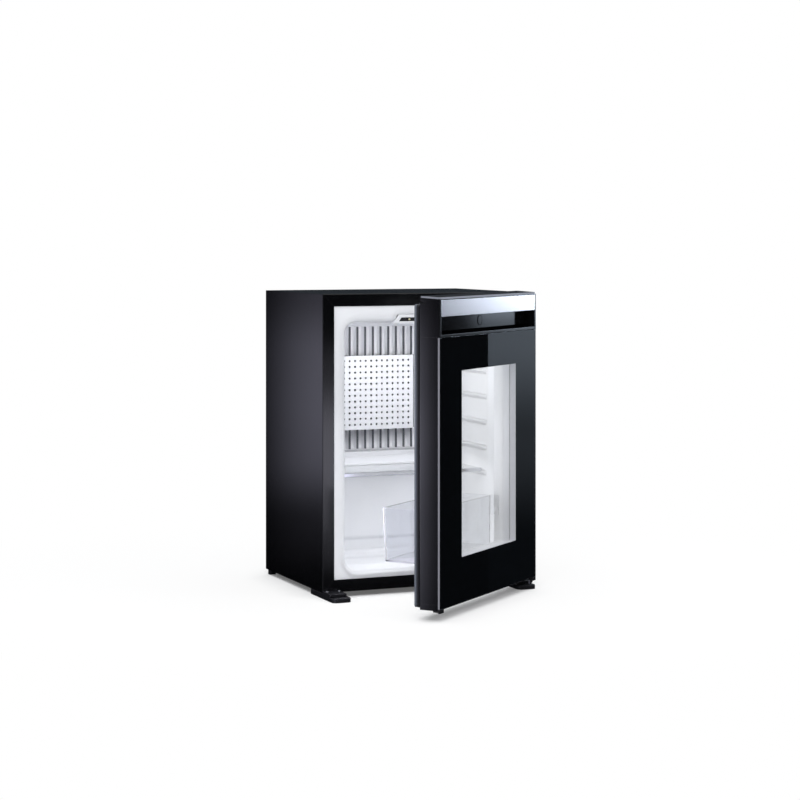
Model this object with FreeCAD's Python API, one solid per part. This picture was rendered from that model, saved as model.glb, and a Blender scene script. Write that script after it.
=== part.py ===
import FreeCAD, Part
import math
import os

from FreeCAD import Vector

# Minibar fridge with a glass door, an inner shelf, a door rack and an absorption cooling unit.
# Sizes are in millimetres. The origin lies on the floor under the middle of the casing.
# +X points right when facing the door, +Y points to the back and +Z points up.
# The door is drawn shut and then turned open about its hinge axis.

# Casing of folded sheet
CASE_WIDTH = 402.0
CASE_HEIGHT = 536.0
CASE_DEPTH = 306.0
FOOT_HEIGHT = 10.0
SHEET = 0.8
BEND_RADIUS = 1.2
BORDER = 22.3
REAR_RIM = 12.0
SEAM = 0.2

# Working values shared by all cuts and fits
OVERRUN = 5.0
TOUCH = 0.001
FIT_GAP = 0.1
MOVING_GAP = 0.3
PRESS_GAP = 0.02
PIN_RUNNING_GAP = 0.05

# Inner liner and the foam around it
LINER_WALL = 1.5
LINER_LAP = 3.0
SLAB_LAP = 6.0
SIDE_INSULATION = 46.0
FLOOR_INSULATION = 35.0
CEILING_INSULATION = 52.0
BACK_INSULATION = 32.0
CAVITY_CORNER = 24.0
CAVITY_REAR_CORNER = 18.0
FLARE_SIDE = 10.0
FLARE_TOP = 20.0
FLARE_FLOOR = 6.0
FLARE_DEPTH = 12.0
FLARE_SECTIONS = 5
STEP_HEIGHT = 16.0
STEP_DEPTH = 119.0
STEP_ROUND = 8.0

# Shelf ribs moulded on the liner's side walls
RIB_PITCH = 48.0
RIB_FIRST_TOP = 195.7
RIB_TOP_GAP = 140.0
RIB_COUNT = 1 + int((CASE_HEIGHT - RIB_FIRST_TOP - RIB_TOP_GAP) / RIB_PITCH)
RIB_DEPTH = 5.0
RIB_LIP = 3.0
RIB_ROOT = 8.0
RIB_START = 76.0
RIB_NOSE = 4.0

# Finned evaporator, its guard and the gutter below
FIN_COUNT = 11
FIN_PITCH = 16.15
FIN_THICKNESS = 2.0
FIN_DEPTH = 20.0
EVAPORATOR_PLATE = 4.0
EVAPORATOR_MARGIN = 12.0
EVAPORATOR_LOW = 229.0
EVAPORATOR_TOP_GAP = 71.0
EVAPORATOR_HEIGHT = CASE_HEIGHT - EVAPORATOR_LOW - EVAPORATOR_TOP_GAP
GUARD_SHEET = 1.2
GUARD_LOW = 266.0
GUARD_TOP_GAP = 127.0
GUARD_HEIGHT = CASE_HEIGHT - GUARD_LOW - GUARD_TOP_GAP
GUARD_HOLE_PITCH = 11.2
GUARD_HOLE_WIDTH = 4.5
GUARD_HOLE_SIDES = 6
GUARD_COLUMNS = 14
GUARD_ROWS = int(GUARD_HEIGHT / GUARD_HOLE_PITCH)
GUARD_STANDOFF = 1.0
GUARD_SIDE_GAP = 0.6
GUARD_BEND = 2.0
GUTTER_DEPTH = 34.0
GUTTER_HEIGHT = 17.0
GUTTER_WALL = 2.0
GUTTER_ROUND = 6.0
GUTTER_DROP = 4.0
GUTTER_OVERHANG = 4.0
DRAIN_RADIUS = 4.5
DRAIN_BORE = 3.2
DRAIN_PROUD = 14.0

# Lamp and control housing in the ceiling lip
LAMP_LOW_HALF = 63.0
LAMP_HIGH_HALF = 51.0
LAMP_FRONT_INSET = 1.5
LAMP_RISE = 14.0
LAMP_DROP = 3.0
LAMP_DEPTH = 76.0
LAMP_NOSE_ROUND = 2.0
LAMP_POCKET_HALF = 56.0
LAMP_POCKET_DEPTH = 64.0
LAMP_POCKET_RISE = 12.0
STRIP_HALF = 51.5
STRIP_RISE = 1.1
STRIP_HEIGHT = 6.8
STRIP_DEPTH = 3.0
LED_RADIUS = 1.8
LED_PLACE = -31.0
LED_LENGTH = 5.0
LED_PROUD = 0.4
BUTTON_RADIUS = 2.6
BUTTON_PROUD = 1.3
BUTTON_LENGTH = 4.5
BUTTON_TRAVEL = 1.0
DIFFUSER_HALF = 44.0
DIFFUSER_INSET = 16.0
DIFFUSER_DEPTH = 42.0
DIFFUSER_THICKNESS = 3.0
DIFFUSER_PROUD = 0.8

# Shelf that slides on the ribs
SHELF_FRONT = 88.0
SHELF_BACK_GAP = 37.0
SHELF_SIDE_GAP = 1.5
SHELF_THICKNESS = 4.0
SHELF_ROUND = 6.0
TRIM_SIDE_GAP = 1.0
TRIM_DEPTH = 12.0
TRIM_WALL = 1.6
TRIM_ROUND = 1.2
REAR_STOP_HEIGHT = 14.0

# Feet with the lower hinge
FOOT_WIDTH = 36.0
FOOT_REACH = 53.0
FOOT_REAR = 60.0
FOOT_PLATE = 7.6
FOOT_PLATE_ROUND = 9.0
FOOT_GROOVE = 1.4
FOOT_GROOVE_DEPTH = 3.5
FOOT_LEDGE = 13.2
FOOT_LEDGE_SETBACK = 17.0
FOOT_LEDGE_INSET = 4.0
FOOT_RIB_WIDTH = 3.0
FOOT_EDGE_ROUND = 1.2
REAR_FOOT_WIDTH = 13.0
REAR_FOOT_DEPTH = 12.0
REAR_FOOT_INSET = 3.0
REAR_FOOT_ROUND = 2.5

# Hinge axis and the door's place
DOOR_INSET = 2.0
DOOR_STANDOFF = 56.0
DOOR_LOW_GAP = 12.5
DOOR_TOP_DROP = 2.0
CAP_DROP = 2.5
AXIS_SIDE = 10.0
AXIS_DEPTH = 8.0
OPEN_ANGLE = 39.5
PIN_RADIUS = 2.5
PIN_SEAT = 5.0
PIN_GRIP = 11.0
BUSH_WALL = 1.0
BUSH_FLOOR = 2.0
BUSH_PAD_WIDTH = 15.5
BUSH_PAD_DEPTH = 13.6
BUSH_PAD_HEIGHT = 2.5
BUSH_PAD_ROUND = 1.0
BUSH_LIP_HEIGHT = 1.8

# Upper hinge bracket and its slot in the door
SLOT_DROP = 3.6
SLOT_HEIGHT = 4.4
SLOT_SKIN = 0.8
SLOT_INNER = 9.0
SPARE_SLOT_FRONT = 27.0
SPARE_SLOT_LENGTH = 12.0
BRACKET_PLATE = 3.0
BRACKET_TAB_ROUND = 2.2
BRACKET_HALF = 4.0
BRACKET_TAB_LENGTH = 42.0
BRACKET_TAB_DROP = 1.0
BRACKET_TAB_HEIGHT = 9.0
BRACKET_TAB_THICKNESS = 2.5

# Door body and glazing
DOOR_BODY_DEPTH = 38.6
DOOR_EDGE_ROUND = 2.0
GLASS_THICKNESS = 4.0
GLASS_EDGE = 0.5
INNER_GLASS_THICKNESS = 4.0
GLAZING_GAP = 12.0
GLAZING_LAP = 9.0
WINDOW_MARGIN = 87.0
WINDOW_LOW = 77.3
WINDOW_TOP_GAP = 138.7
WINDOW_HEIGHT = CASE_HEIGHT - WINDOW_LOW - WINDOW_TOP_GAP
WINDOW_CORNER = 3.0
SPACER_REVEAL = 1.0
FRAME_REVEAL = 3.0
BOTTOM_CAP_HEIGHT = 8.0
GASKET_SIDE_INSET = 13.0
GASKET_TOP_INSET = 9.5
GASKET_LOW_INSET = 0.3
GASKET_WIDTH = 12.0
GASKET_FOOT_HEIGHT = 3.0
GASKET_NECK_INSET = 3.0
GASKET_NECK_HEIGHT = 3.5
GASKET_CORNER = 5.0
GASKET_FREE_GAP = 0.5

# Handle at the top of the door
HANDLE_HEIGHT = 65.0
HANDLE_SILL = 4.5
HANDLE_END = 5.0
RECESS_DEPTH = 22.0
RECESS_ROUND = 5.0
FASCIA_HEIGHT = 27.8
FASCIA_DROP = 2.0
FASCIA_THICKNESS = 2.5
FASCIA_LIP = 7.0
GRIP_HEIGHT = 12.0
GRIP_INSET = 60.0
PANEL_THICKNESS = 1.5
LOCK_RADIUS = 9.0
LOCK_RISE = 18.5
LOCK_PROUD = 0.6
TOP_CAP_THICKNESS = 3.0
TOP_CAP_RISE = 2.2
TOP_CAP_CORNER = 6.0
TOP_CAP_ROUND = 0.8

# Inner door panel, its posts and the rack
INNER_PANEL = 2.4
INNER_PANEL_GAP = 2.0
INNER_PANEL_CORNER = 8.0
POST_WIDTH = 10.0
POST_DEPTH = 17.0
POST_LOW = 40.0
POST_TOP_GAP = 116.0
POST_HIGH = CASE_HEIGHT - POST_TOP_GAP
POST_ROUND = 4.0
POST_GAP = 1.0
RACK_SIDE = 70.0
RACK_LOW = 74.0
RACK_HEIGHT = 93.0
RACK_BACK = 62.0
RACK_FRONT = 149.0
RACK_TAPER = 4.0
RACK_WALL = 2.5
RACK_CORNER = 8.0
EAR_HEIGHT = 35.0
EAR_CLEAR = 3.0
STUD_RADIUS = 4.0
STUD_PLACE = 52.0
STUD_LENGTH = 5.0
RACK_LIFT = 14.0

# Absorption cooling unit on the back
PLATE_SIDE_GAP = 89.0
PLATE_HALF = CASE_WIDTH / 2 - PLATE_SIDE_GAP
PLATE_LOW = 206.0
PLATE_TOP_GAP = 40.0
PLATE_HEIGHT = CASE_HEIGHT - PLATE_LOW - PLATE_TOP_GAP
PLATE_SHEET = 1.2
PLATE_CORNER = 10.0
PLATE_LAP = 8.0
PLUG_BLOCK_HALF = PLATE_HALF - PLATE_LAP
PLUG_BLOCK_LOW = 224.0
PLUG_BLOCK_TOP_GAP = 60.0
PLUG_BLOCK_HEIGHT = CASE_HEIGHT - PLUG_BLOCK_LOW - PLUG_BLOCK_TOP_GAP
UNIT_STANDOFF = 44.0
TUBE_RADIUS = 7.0
TUBE_BEND = 20.0
BOILER_SIDE_GAP = 59.0
BOILER_PLACE = BOILER_SIDE_GAP - CASE_WIDTH / 2
BOILER_WIDTH = 56.0
BOILER_DEPTH = 62.0
BOILER_LOW = 62.0
BOILER_HEIGHT = 268.0
BOILER_ROUND = 14.0
HEATER_RADIUS = 8.0
HEATER_COLLAR_RADIUS = 11.0
HEATER_COLLAR = 6.0
HEATER_LENGTH = 22.0
HEATER_RISE = 30.0
VESSEL_RADIUS = 24.0
VESSEL_LENGTH = 196.0
VESSEL_PLACE = 52.0
VESSEL_HEIGHT = 44.0
VESSEL_DOME = 9.0
COIL_LEFT = -20.0
COIL_SIDE_GAP = 73.0
COIL_RIGHT = CASE_WIDTH / 2 - COIL_SIDE_GAP
COIL_PASSES = 4
COIL_RISE = 34.0
COIL_FIRST = 96.0
COIL_BEND = 15.0
EXCHANGER_BEND = 12.0
CONDENSER_TOP_GAP = 66.0
CONDENSER_HEIGHT = CASE_HEIGHT - CONDENSER_TOP_GAP
CONDENSER_FALL = 14.0
CONDENSER_SIDE_GAP = 61.0
CONDENSER_END = CASE_WIDTH / 2 - CONDENSER_SIDE_GAP
CONDENSER_FIN_COUNT = 15
CONDENSER_FIN_PITCH = 12.0
CONDENSER_FIN_START = -84.0
CONDENSER_FIN_SHEET = 1.0
CONDENSER_FIN_WIDTH = 52.0
CONDENSER_FIN_HEIGHT = 44.0
CONDENSER_FIN_CORNER = 5.0
EVAPORATOR_TUBE_PLACE = 60.0
EVAPORATOR_TUBE_TOP_INSET = 70.0
EVAPORATOR_TUBE_LOW_INSET = 30.0
SADDLE_SHEET = 2.0
SADDLE_PLACES = (-10.0, 116.0)
SADDLE_HEIGHT = 40.0
SADDLE_FOOT = 16.0
SADDLE_LOW_MARGIN = 12.0
BOX_SIDE_GAP = 47.0
BOX_PLACE = CASE_WIDTH / 2 - BOX_SIDE_GAP
BOX_WIDTH = 76.0
BOX_HEIGHT = 70.0
BOX_DEPTH = 34.0
BOX_LOW = 250.0
BOX_ROUND = 5.0
BOX_DRAFT = 3.0
GLAND_RADIUS = 8.0
GLAND_FLANGE_RADIUS = 11.0
GLAND_FLANGE = 3.0
GLAND_LENGTH = 12.0
GLAND_BORE = 4.0
GLAND_RISE = 20.0

# Planes and places that follow from the sizes above
HALF_WIDTH = CASE_WIDTH / 2
FRONT = -CASE_DEPTH / 2
BACK = CASE_DEPTH / 2
BASE = FOOT_HEIGHT
TOP = BASE + CASE_HEIGHT
LINER_FRONT = FRONT + SHEET
FLANGE_HALF = HALF_WIDTH - BORDER + LINER_LAP
FLANGE_LOW = BASE + BORDER - LINER_LAP
FLANGE_HIGH = TOP - BORDER + LINER_LAP
CAVITY_HALF = HALF_WIDTH - SIDE_INSULATION
CAVITY_FLOOR = BASE + FLOOR_INSULATION
CAVITY_CEILING = TOP - CEILING_INSULATION
CAVITY_BACK = BACK - BACK_INSULATION
EVAPORATOR_FRONT = CAVITY_BACK - EVAPORATOR_PLATE
FIN_TIP = EVAPORATOR_FRONT - FIN_DEPTH
FIN_SPAN_HALF = (FIN_COUNT - 1) * FIN_PITCH / 2 + FIN_THICKNESS / 2
EVAPORATOR_HALF = FIN_SPAN_HALF + EVAPORATOR_MARGIN
SHELF_LOW = BASE + RIB_FIRST_TOP + MOVING_GAP
SHELF_BACK = CAVITY_BACK - SHELF_BACK_GAP
DOOR_WIDTH = CASE_WIDTH - DOOR_INSET - DOOR_INSET
DOOR_RIGHT = HALF_WIDTH - DOOR_INSET
DOOR_FRONT = FRONT - DOOR_STANDOFF
DOOR_LOW = BASE + DOOR_LOW_GAP
DOOR_HIGH = TOP - DOOR_TOP_DROP
CAP_LOW = DOOR_LOW - CAP_DROP
AXIS_X = DOOR_RIGHT - AXIS_SIDE
AXIS_Y = DOOR_FRONT + AXIS_DEPTH
HANDLE_LOW = DOOR_HIGH - HANDLE_HEIGHT
FASCIA_HIGH = DOOR_HIGH - FASCIA_DROP
FASCIA_LOW = FASCIA_HIGH - FASCIA_HEIGHT
RECESS_LOW = HANDLE_LOW + HANDLE_SILL
FRAME_LOW = DOOR_LOW + BOTTOM_CAP_HEIGHT
BUSH_RADIUS = PIN_RADIUS + BUSH_WALL
BUSH_HOLE = BUSH_RADIUS + FIT_GAP
SLOT_HIGH = DOOR_HIGH - SLOT_DROP
SLOT_LOW = SLOT_HIGH - SLOT_HEIGHT
INNER_GLASS_FRONT = GLASS_THICKNESS + GLAZING_GAP
INNER_GLASS_BACK = INNER_GLASS_FRONT + INNER_GLASS_THICKNESS
PANEL_BACK = DOOR_BODY_DEPTH + INNER_PANEL
UNIT_Y = BACK + UNIT_STANDOFF
LAMP_LOW = CAVITY_CEILING - LAMP_DROP
FULL_TURN = 360.0
UP = Vector(0, 0, 1)
RIGHTWARD = Vector(1, 0, 0)
BACKWARD = Vector(0, 1, 0)


def box(x0, x1, y0, y1, z0, z1):
    """Block between two corners."""
    return Part.makeBox(x1 - x0, y1 - y0, z1 - z0, Vector(x0, y0, z0))


def door_box(s0, s1, t0, t1, z0, z1):
    """Block on the shut door: s runs from its hinge edge, t from its front face to the back."""
    return box(DOOR_RIGHT - s1, DOOR_RIGHT - s0, DOOR_FRONT + t0, DOOR_FRONT + t1, z0, z1)


def flat_xy(z):
    """Map from a flat outline to the level plane at height z."""
    return lambda u, v: Vector(u, v, z)


def flat_xz(y):
    """Map from a flat outline to the upright plane that faces the front."""
    return lambda u, v: Vector(u, y, v)


def flat_yz(x):
    """Map from a flat outline to the upright plane that faces the side."""
    return lambda u, v: Vector(x, u, v)


def outline(corners, place):
    """Closed wire through (u, v, radius) corners, with an arc at each corner that has a radius."""
    edges = []
    joins = []
    count = len(corners)
    for index in range(count):
        u, v, radius = corners[index]
        before = corners[index - 1]
        after = corners[(index + 1) % count]
        here = Vector(u, v, 0)
        to_before = (Vector(before[0], before[1], 0) - here).normalize()
        to_after = (Vector(after[0], after[1], 0) - here).normalize()
        if radius > 0:
            half_angle = to_before.getAngle(to_after) / 2
            run = radius / math.tan(half_angle)
            middle = (to_before + to_after).normalize()
            centre = here + middle * (radius / math.sin(half_angle))
            joins.append((here + to_before * run, centre - middle * radius, here + to_after * run))
        else:
            joins.append((here, None, here))
    for index in range(count):
        start, bulge, end = joins[index]
        following = joins[(index + 1) % count][0]
        if bulge is not None:
            spots = [place(point.x, point.y) for point in (start, bulge, end)]
            edges.append(Part.Arc(*spots).toShape())
        if end.distanceToPoint(following) > TOUCH:
            line = Part.LineSegment(place(end.x, end.y), place(following.x, following.y))
            edges.append(line.toShape())
    return Part.Wire(edges)


def rounded(u0, u1, v0, v1, radius, place):
    """Closed wire of a rectangle with equal round corners."""
    corners = [(u0, v0, radius), (u1, v0, radius), (u1, v1, radius), (u0, v1, radius)]
    return outline(corners, place)


def prism(wire, direction):
    """Solid drawn from a flat closed wire along a direction."""
    return Part.Face(wire).extrude(direction)


def plate_xz(u0, u1, v0, v1, radius, y0, y1):
    """Upright plate with round corners between two depths."""
    return prism(rounded(u0, u1, v0, v1, radius, flat_xz(y0)), BACKWARD * (y1 - y0))


def plate_xy(u0, u1, v0, v1, radius, z0, z1):
    """Level plate with round corners between two heights."""
    return prism(rounded(u0, u1, v0, v1, radius, flat_xy(z0)), UP * (z1 - z0))


def door_plate(s0, s1, z0, z1, radius, t0, t1):
    """Upright plate with round corners on the shut door."""
    left = DOOR_RIGHT - s1
    right = DOOR_RIGHT - s0
    return plate_xz(left, right, z0, z1, radius, DOOR_FRONT + t0, DOOR_FRONT + t1)


def rod(radius, start, direction, length):
    """Round bar from a start point along a direction."""
    return Part.makeCylinder(radius, length, start, direction)


def mirrored(shape):
    """The same shape on the other side of the middle plane."""
    return shape.mirror(Vector(0, 0, 0), RIGHTWARD)


def edges_along(shape, direction, test):
    """Straight edges of a shape that run along a direction and whose middle passes a test."""
    found = []
    for edge in shape.Edges:
        if edge.Curve.TypeId != "Part::GeomLine":
            continue
        if abs(abs(edge.tangentAt(edge.FirstParameter).dot(direction)) - 1) > TOUCH:
            continue
        if test(edge.CenterOfMass):
            found.append(edge)
    return found


def near(value, target):
    """True where two lengths agree."""
    return abs(value - target) < TOUCH


def joined(shapes):
    """One shape fused from several, with the seams between coplanar faces removed."""
    whole = shapes[0]
    for shape in shapes[1:]:
        whole = whole.fuse(shape)
    return whole.removeSplitter()


def pipe(points, radius, bend):
    """Round tube along straight runs that are joined by tangent arcs."""
    edges = []
    start = points[0]
    for before, corner, after in zip(points, points[1:], points[2:]):
        to_before = (before - corner).normalize()
        to_after = (after - corner).normalize()
        half_angle = to_before.getAngle(to_after) / 2
        run = bend / math.tan(half_angle)
        middle = (to_before + to_after).normalize()
        centre = corner + middle * (bend / math.sin(half_angle))
        enter = corner + to_before * run
        leave = corner + to_after * run
        if start.distanceToPoint(enter) > TOUCH:
            edges.append(Part.LineSegment(start, enter).toShape())
        edges.append(Part.Arc(enter, centre - middle * bend, leave).toShape())
        start = leave
    edges.append(Part.LineSegment(start, points[-1]).toShape())
    path = Part.Wire(edges)
    heading = (points[1] - points[0]).normalize()
    section = Part.Wire([Part.makeCircle(radius, points[0], heading)])
    return path.makePipeShell([section], True, False)


# Casing


def side_panel():
    """Right side sheet with its front border, mitred at both ends of the border."""
    inner = HALF_WIDTH - SHEET
    bend_inner = BEND_RADIUS - SHEET
    corners = [
        (HALF_WIDTH - BORDER, FRONT, 0),
        (HALF_WIDTH, FRONT, BEND_RADIUS),
        (HALF_WIDTH, BACK, 0),
        (inner, BACK, 0),
        (inner, LINER_FRONT, bend_inner),
        (HALF_WIDTH - BORDER, LINER_FRONT, 0),
    ]
    sheet = prism(outline(corners, flat_xy(BASE)), UP * CASE_HEIGHT)
    return sheet.cut(mitre_tool(TOP, -1)).cut(mitre_tool(BASE, 1))


def mitre_tool(level, inward):
    """Wedge that trims a side border to a line at 45 degrees at the top or the bottom corner."""
    reach = BORDER + OVERRUN
    depth = SHEET + OVERRUN
    half_seam = SEAM / 2
    corners = [
        (HALF_WIDTH + OVERRUN, level - inward * (OVERRUN - half_seam), 0),
        (HALF_WIDTH - reach, level + inward * (reach + half_seam), 0),
        (HALF_WIDTH - reach, level - inward * OVERRUN, 0),
    ]
    return prism(outline(corners, flat_xz(FRONT - OVERRUN)), BACKWARD * depth)


def level_panel(level, inward):
    """Top or base sheet with its front border, which meets the side borders at the mitres."""
    inner = level + inward * SHEET
    edge = level + inward * BORDER
    reach = HALF_WIDTH - SHEET - SEAM
    corners = [
        (FRONT, edge, 0),
        (FRONT, level, BEND_RADIUS),
        (BACK, level, 0),
        (BACK, inner, 0),
        (LINER_FRONT, inner, BEND_RADIUS - SHEET),
        (LINER_FRONT, edge, 0),
    ]
    sheet = prism(outline(corners, flat_yz(-reach)), RIGHTWARD * (reach + reach))
    half_seam = SEAM / 2
    wide = HALF_WIDTH + OVERRUN
    narrow = HALF_WIDTH - BORDER - OVERRUN
    wedge = [
        (wide, level - inward * (OVERRUN + half_seam), 0),
        (narrow, level + inward * (BORDER + OVERRUN - half_seam), 0),
        (wide, level + inward * (BORDER + OVERRUN - half_seam), 0),
    ]
    depth = SHEET + OVERRUN
    trim = prism(outline(wedge, flat_xz(FRONT - OVERRUN)), BACKWARD * depth)
    tip = HALF_WIDTH - BEND_RADIUS - SEAM
    tip_back = FRONT + BEND_RADIUS + SEAM
    notch = box(tip, wide, FRONT - OVERRUN, tip_back, BASE - OVERRUN, TOP + OVERRUN)
    for tool in (trim, notch):
        sheet = sheet.cut(tool).cut(mirrored(tool))
    return sheet


def rear_panel():
    """Back sheet folded forward along both sides, with the cooling unit's opening."""
    reach = HALF_WIDTH - SHEET - SEAM
    inner = reach - SHEET
    fold = BACK - REAR_RIM
    face = BACK - SHEET
    bend_inner = BEND_RADIUS - SHEET
    corners = [
        (-reach, fold, 0),
        (-reach, BACK, BEND_RADIUS),
        (reach, BACK, BEND_RADIUS),
        (reach, fold, 0),
        (inner, fold, 0),
        (inner, face, bend_inner),
        (-inner, face, bend_inner),
        (-inner, fold, 0),
    ]
    low = BASE + SHEET + SEAM
    height = CASE_HEIGHT - SHEET - SHEET - SEAM - SEAM
    sheet = prism(outline(corners, flat_xy(low)), UP * height)
    return sheet.cut(plug_space(FIT_GAP)).cut(drain_rod(DRAIN_RADIUS + FIT_GAP))


# Liner and foam


def cavity(grow):
    """Cavity of the liner with its rear step and flared mouth, pushed outward by grow."""
    half = CAVITY_HALF + grow
    low = CAVITY_FLOOR - grow
    high = CAVITY_CEILING + grow
    back = CAVITY_BACK + grow
    mouth = LINER_FRONT + grow
    front_view = plate_xz(-half, half, low, high, CAVITY_CORNER + grow, mouth, back)
    step_top = low + STEP_HEIGHT
    step_front = back - STEP_DEPTH
    side_view = [
        (mouth, low, 0),
        (step_front, low, STEP_ROUND - grow),
        (step_front, step_top, STEP_ROUND + grow),
        (back, step_top, STEP_ROUND + grow),
        (back, high, CAVITY_REAR_CORNER + grow),
        (mouth, high, 0),
    ]
    plan_view = [
        (-half, mouth, 0),
        (half, mouth, 0),
        (half, back, CAVITY_REAR_CORNER + grow),
        (-half, back, CAVITY_REAR_CORNER + grow),
    ]
    side = prism(outline(side_view, flat_yz(-half)), RIGHTWARD * (half + half))
    plan = prism(outline(plan_view, flat_xy(low)), UP * (high - low))
    hollow = front_view.common(side).common(plan)
    return hollow.fuse(flare(grow)).removeSplitter()


def flare(grow):
    """Quarter-round widening of the cavity at its mouth, lofted through sections."""
    sections = []
    for index in range(FLARE_SECTIONS):
        angle = math.pi / 2 * index / (FLARE_SECTIONS - 1)
        spread = 1 - math.sin(angle)
        half = CAVITY_HALF + grow + FLARE_SIDE * spread
        low = CAVITY_FLOOR - grow - FLARE_FLOOR * spread
        high = CAVITY_CEILING + grow + FLARE_TOP * spread
        corner = CAVITY_CORNER + grow + FLARE_SIDE * spread
        y = LINER_FRONT + grow + FLARE_DEPTH * (1 - math.cos(angle))
        sections.append(rounded(-half, half, low, high, corner, flat_xz(y)))
    return Part.makeLoft(sections, True, False)


def inner_liner():
    """Thin white liner: front flange, cavity shell and shelf ribs."""
    back = CAVITY_BACK + LINER_WALL
    flange = LINER_FRONT + LINER_WALL
    sheet = box(-FLANGE_HALF, FLANGE_HALF, LINER_FRONT, flange, FLANGE_LOW, FLANGE_HIGH)
    shell = sheet.fuse(cavity(LINER_WALL)).cut(cavity(0))
    ribs = []
    trim = cavity(LINER_WALL / 2)
    for index in range(RIB_COUNT):
        rib = shelf_rib(BASE + RIB_FIRST_TOP + index * RIB_PITCH).common(trim)
        ribs.append(rib)
        ribs.append(mirrored(rib))
    shell = joined([shell] + ribs)
    shell = shell.cut(lamp_pocket(FIT_GAP)).cut(drain_rod(DRAIN_RADIUS + FIT_GAP))
    tube_space = evaporator_tube_shape(TUBE_RADIUS + FIT_GAP)
    return shell.cut(tube_space.common(box(-FLANGE_HALF, FLANGE_HALF, FRONT, back, BASE, TOP)))


def shelf_rib(top):
    """One shelf rib on the right wall, with a sloping underside and a sloping nose."""
    wall = CAVITY_HALF + LINER_WALL / 2
    tip = CAVITY_HALF - RIB_DEPTH
    start = FRONT + RIB_START
    back = CAVITY_BACK + LINER_WALL / 2
    corners = [(tip, top, 0), (wall, top, 0), (wall, top - RIB_ROOT, 0), (tip, top - RIB_LIP, 0)]
    bar = prism(outline(corners, flat_xz(start)), BACKWARD * (back - start))
    nose = [
        (tip - OVERRUN, start - OVERRUN, 0),
        (wall, start - OVERRUN, 0),
        (wall, start, 0),
        (tip, start + RIB_NOSE, 0),
        (tip - OVERRUN, start + RIB_NOSE, 0),
    ]
    return bar.cut(prism(outline(nose, flat_xy(top - RIB_ROOT)), UP * RIB_ROOT))


def foam_slabs(foam):
    """Foam cut into two side slabs, a floor, a ceiling and a back slab that meet face to face."""
    side = CAVITY_HALF - SLAB_LAP
    floor = CAVITY_FLOOR + STEP_HEIGHT
    ceiling = CAVITY_CEILING - SLAB_LAP
    spaces = [
        box(-HALF_WIDTH, -side, FRONT, BACK, BASE, TOP),
        box(side, HALF_WIDTH, FRONT, BACK, BASE, TOP),
        box(-side, side, FRONT, BACK, BASE, floor),
        box(-side, side, FRONT, BACK, ceiling, TOP),
        box(-side, side, FRONT, BACK, floor, ceiling),
    ]
    slabs = [solid for space in spaces for solid in foam.common(space).Solids]
    return Part.makeCompound(slabs)


def insulation_foam():
    """Foam slabs that fill the space between the casing and the liner."""
    inner = HALF_WIDTH - SHEET
    low = BASE + SHEET
    high = TOP - SHEET
    block = box(-inner, inner, LINER_FRONT, BACK - SHEET, low, high)
    flange = LINER_FRONT + LINER_WALL
    step = box(-FLANGE_HALF, FLANGE_HALF, FRONT, flange, FLANGE_LOW, FLANGE_HIGH)
    foam = block.cut(step).cut(cavity(LINER_WALL))
    bend = BEND_RADIUS - SHEET
    corner_back = LINER_FRONT + bend
    upright = box(inner - bend, inner, FRONT, corner_back, low, high)
    foam = foam.cut(upright).cut(mirrored(upright))
    foam = foam.cut(box(-inner, inner, FRONT, corner_back, low, low + bend))
    foam = foam.cut(box(-inner, inner, FRONT, corner_back, high - bend, high))
    rim = box(
        inner - SEAM - SHEET - SEAM,
        inner,
        BACK - REAR_RIM - SEAM,
        BACK,
        low,
        high,
    )
    rear_bend = box(inner - SEAM - BEND_RADIUS, inner, BACK - BEND_RADIUS, BACK, low, high)
    for tool in (rim, rear_bend):
        foam = foam.cut(tool).cut(mirrored(tool))
    foam = foam.cut(plug_space(FIT_GAP)).cut(lamp_pocket(FIT_GAP))
    return foam_slabs(foam.cut(drain_rod(DRAIN_RADIUS + FIT_GAP)))


# Evaporator, guard and gutter


def evaporator_fins():
    """Cast plate with upright fins, drawn as one comb outline and lifted to its height."""
    corners = [(EVAPORATOR_HALF, CAVITY_BACK, 0), (-EVAPORATOR_HALF, CAVITY_BACK, 0)]
    corners.append((-EVAPORATOR_HALF, EVAPORATOR_FRONT, 0))
    for index in range(FIN_COUNT):
        centre = (index - (FIN_COUNT - 1) / 2) * FIN_PITCH
        left = centre - FIN_THICKNESS / 2
        right = centre + FIN_THICKNESS / 2
        corners.append((left, EVAPORATOR_FRONT, 0))
        corners.append((left, FIN_TIP, 0))
        corners.append((right, FIN_TIP, 0))
        corners.append((right, EVAPORATOR_FRONT, 0))
    corners.append((EVAPORATOR_HALF, EVAPORATOR_FRONT, 0))
    return prism(outline(corners, flat_xy(BASE + EVAPORATOR_LOW)), UP * EVAPORATOR_HEIGHT)


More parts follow.
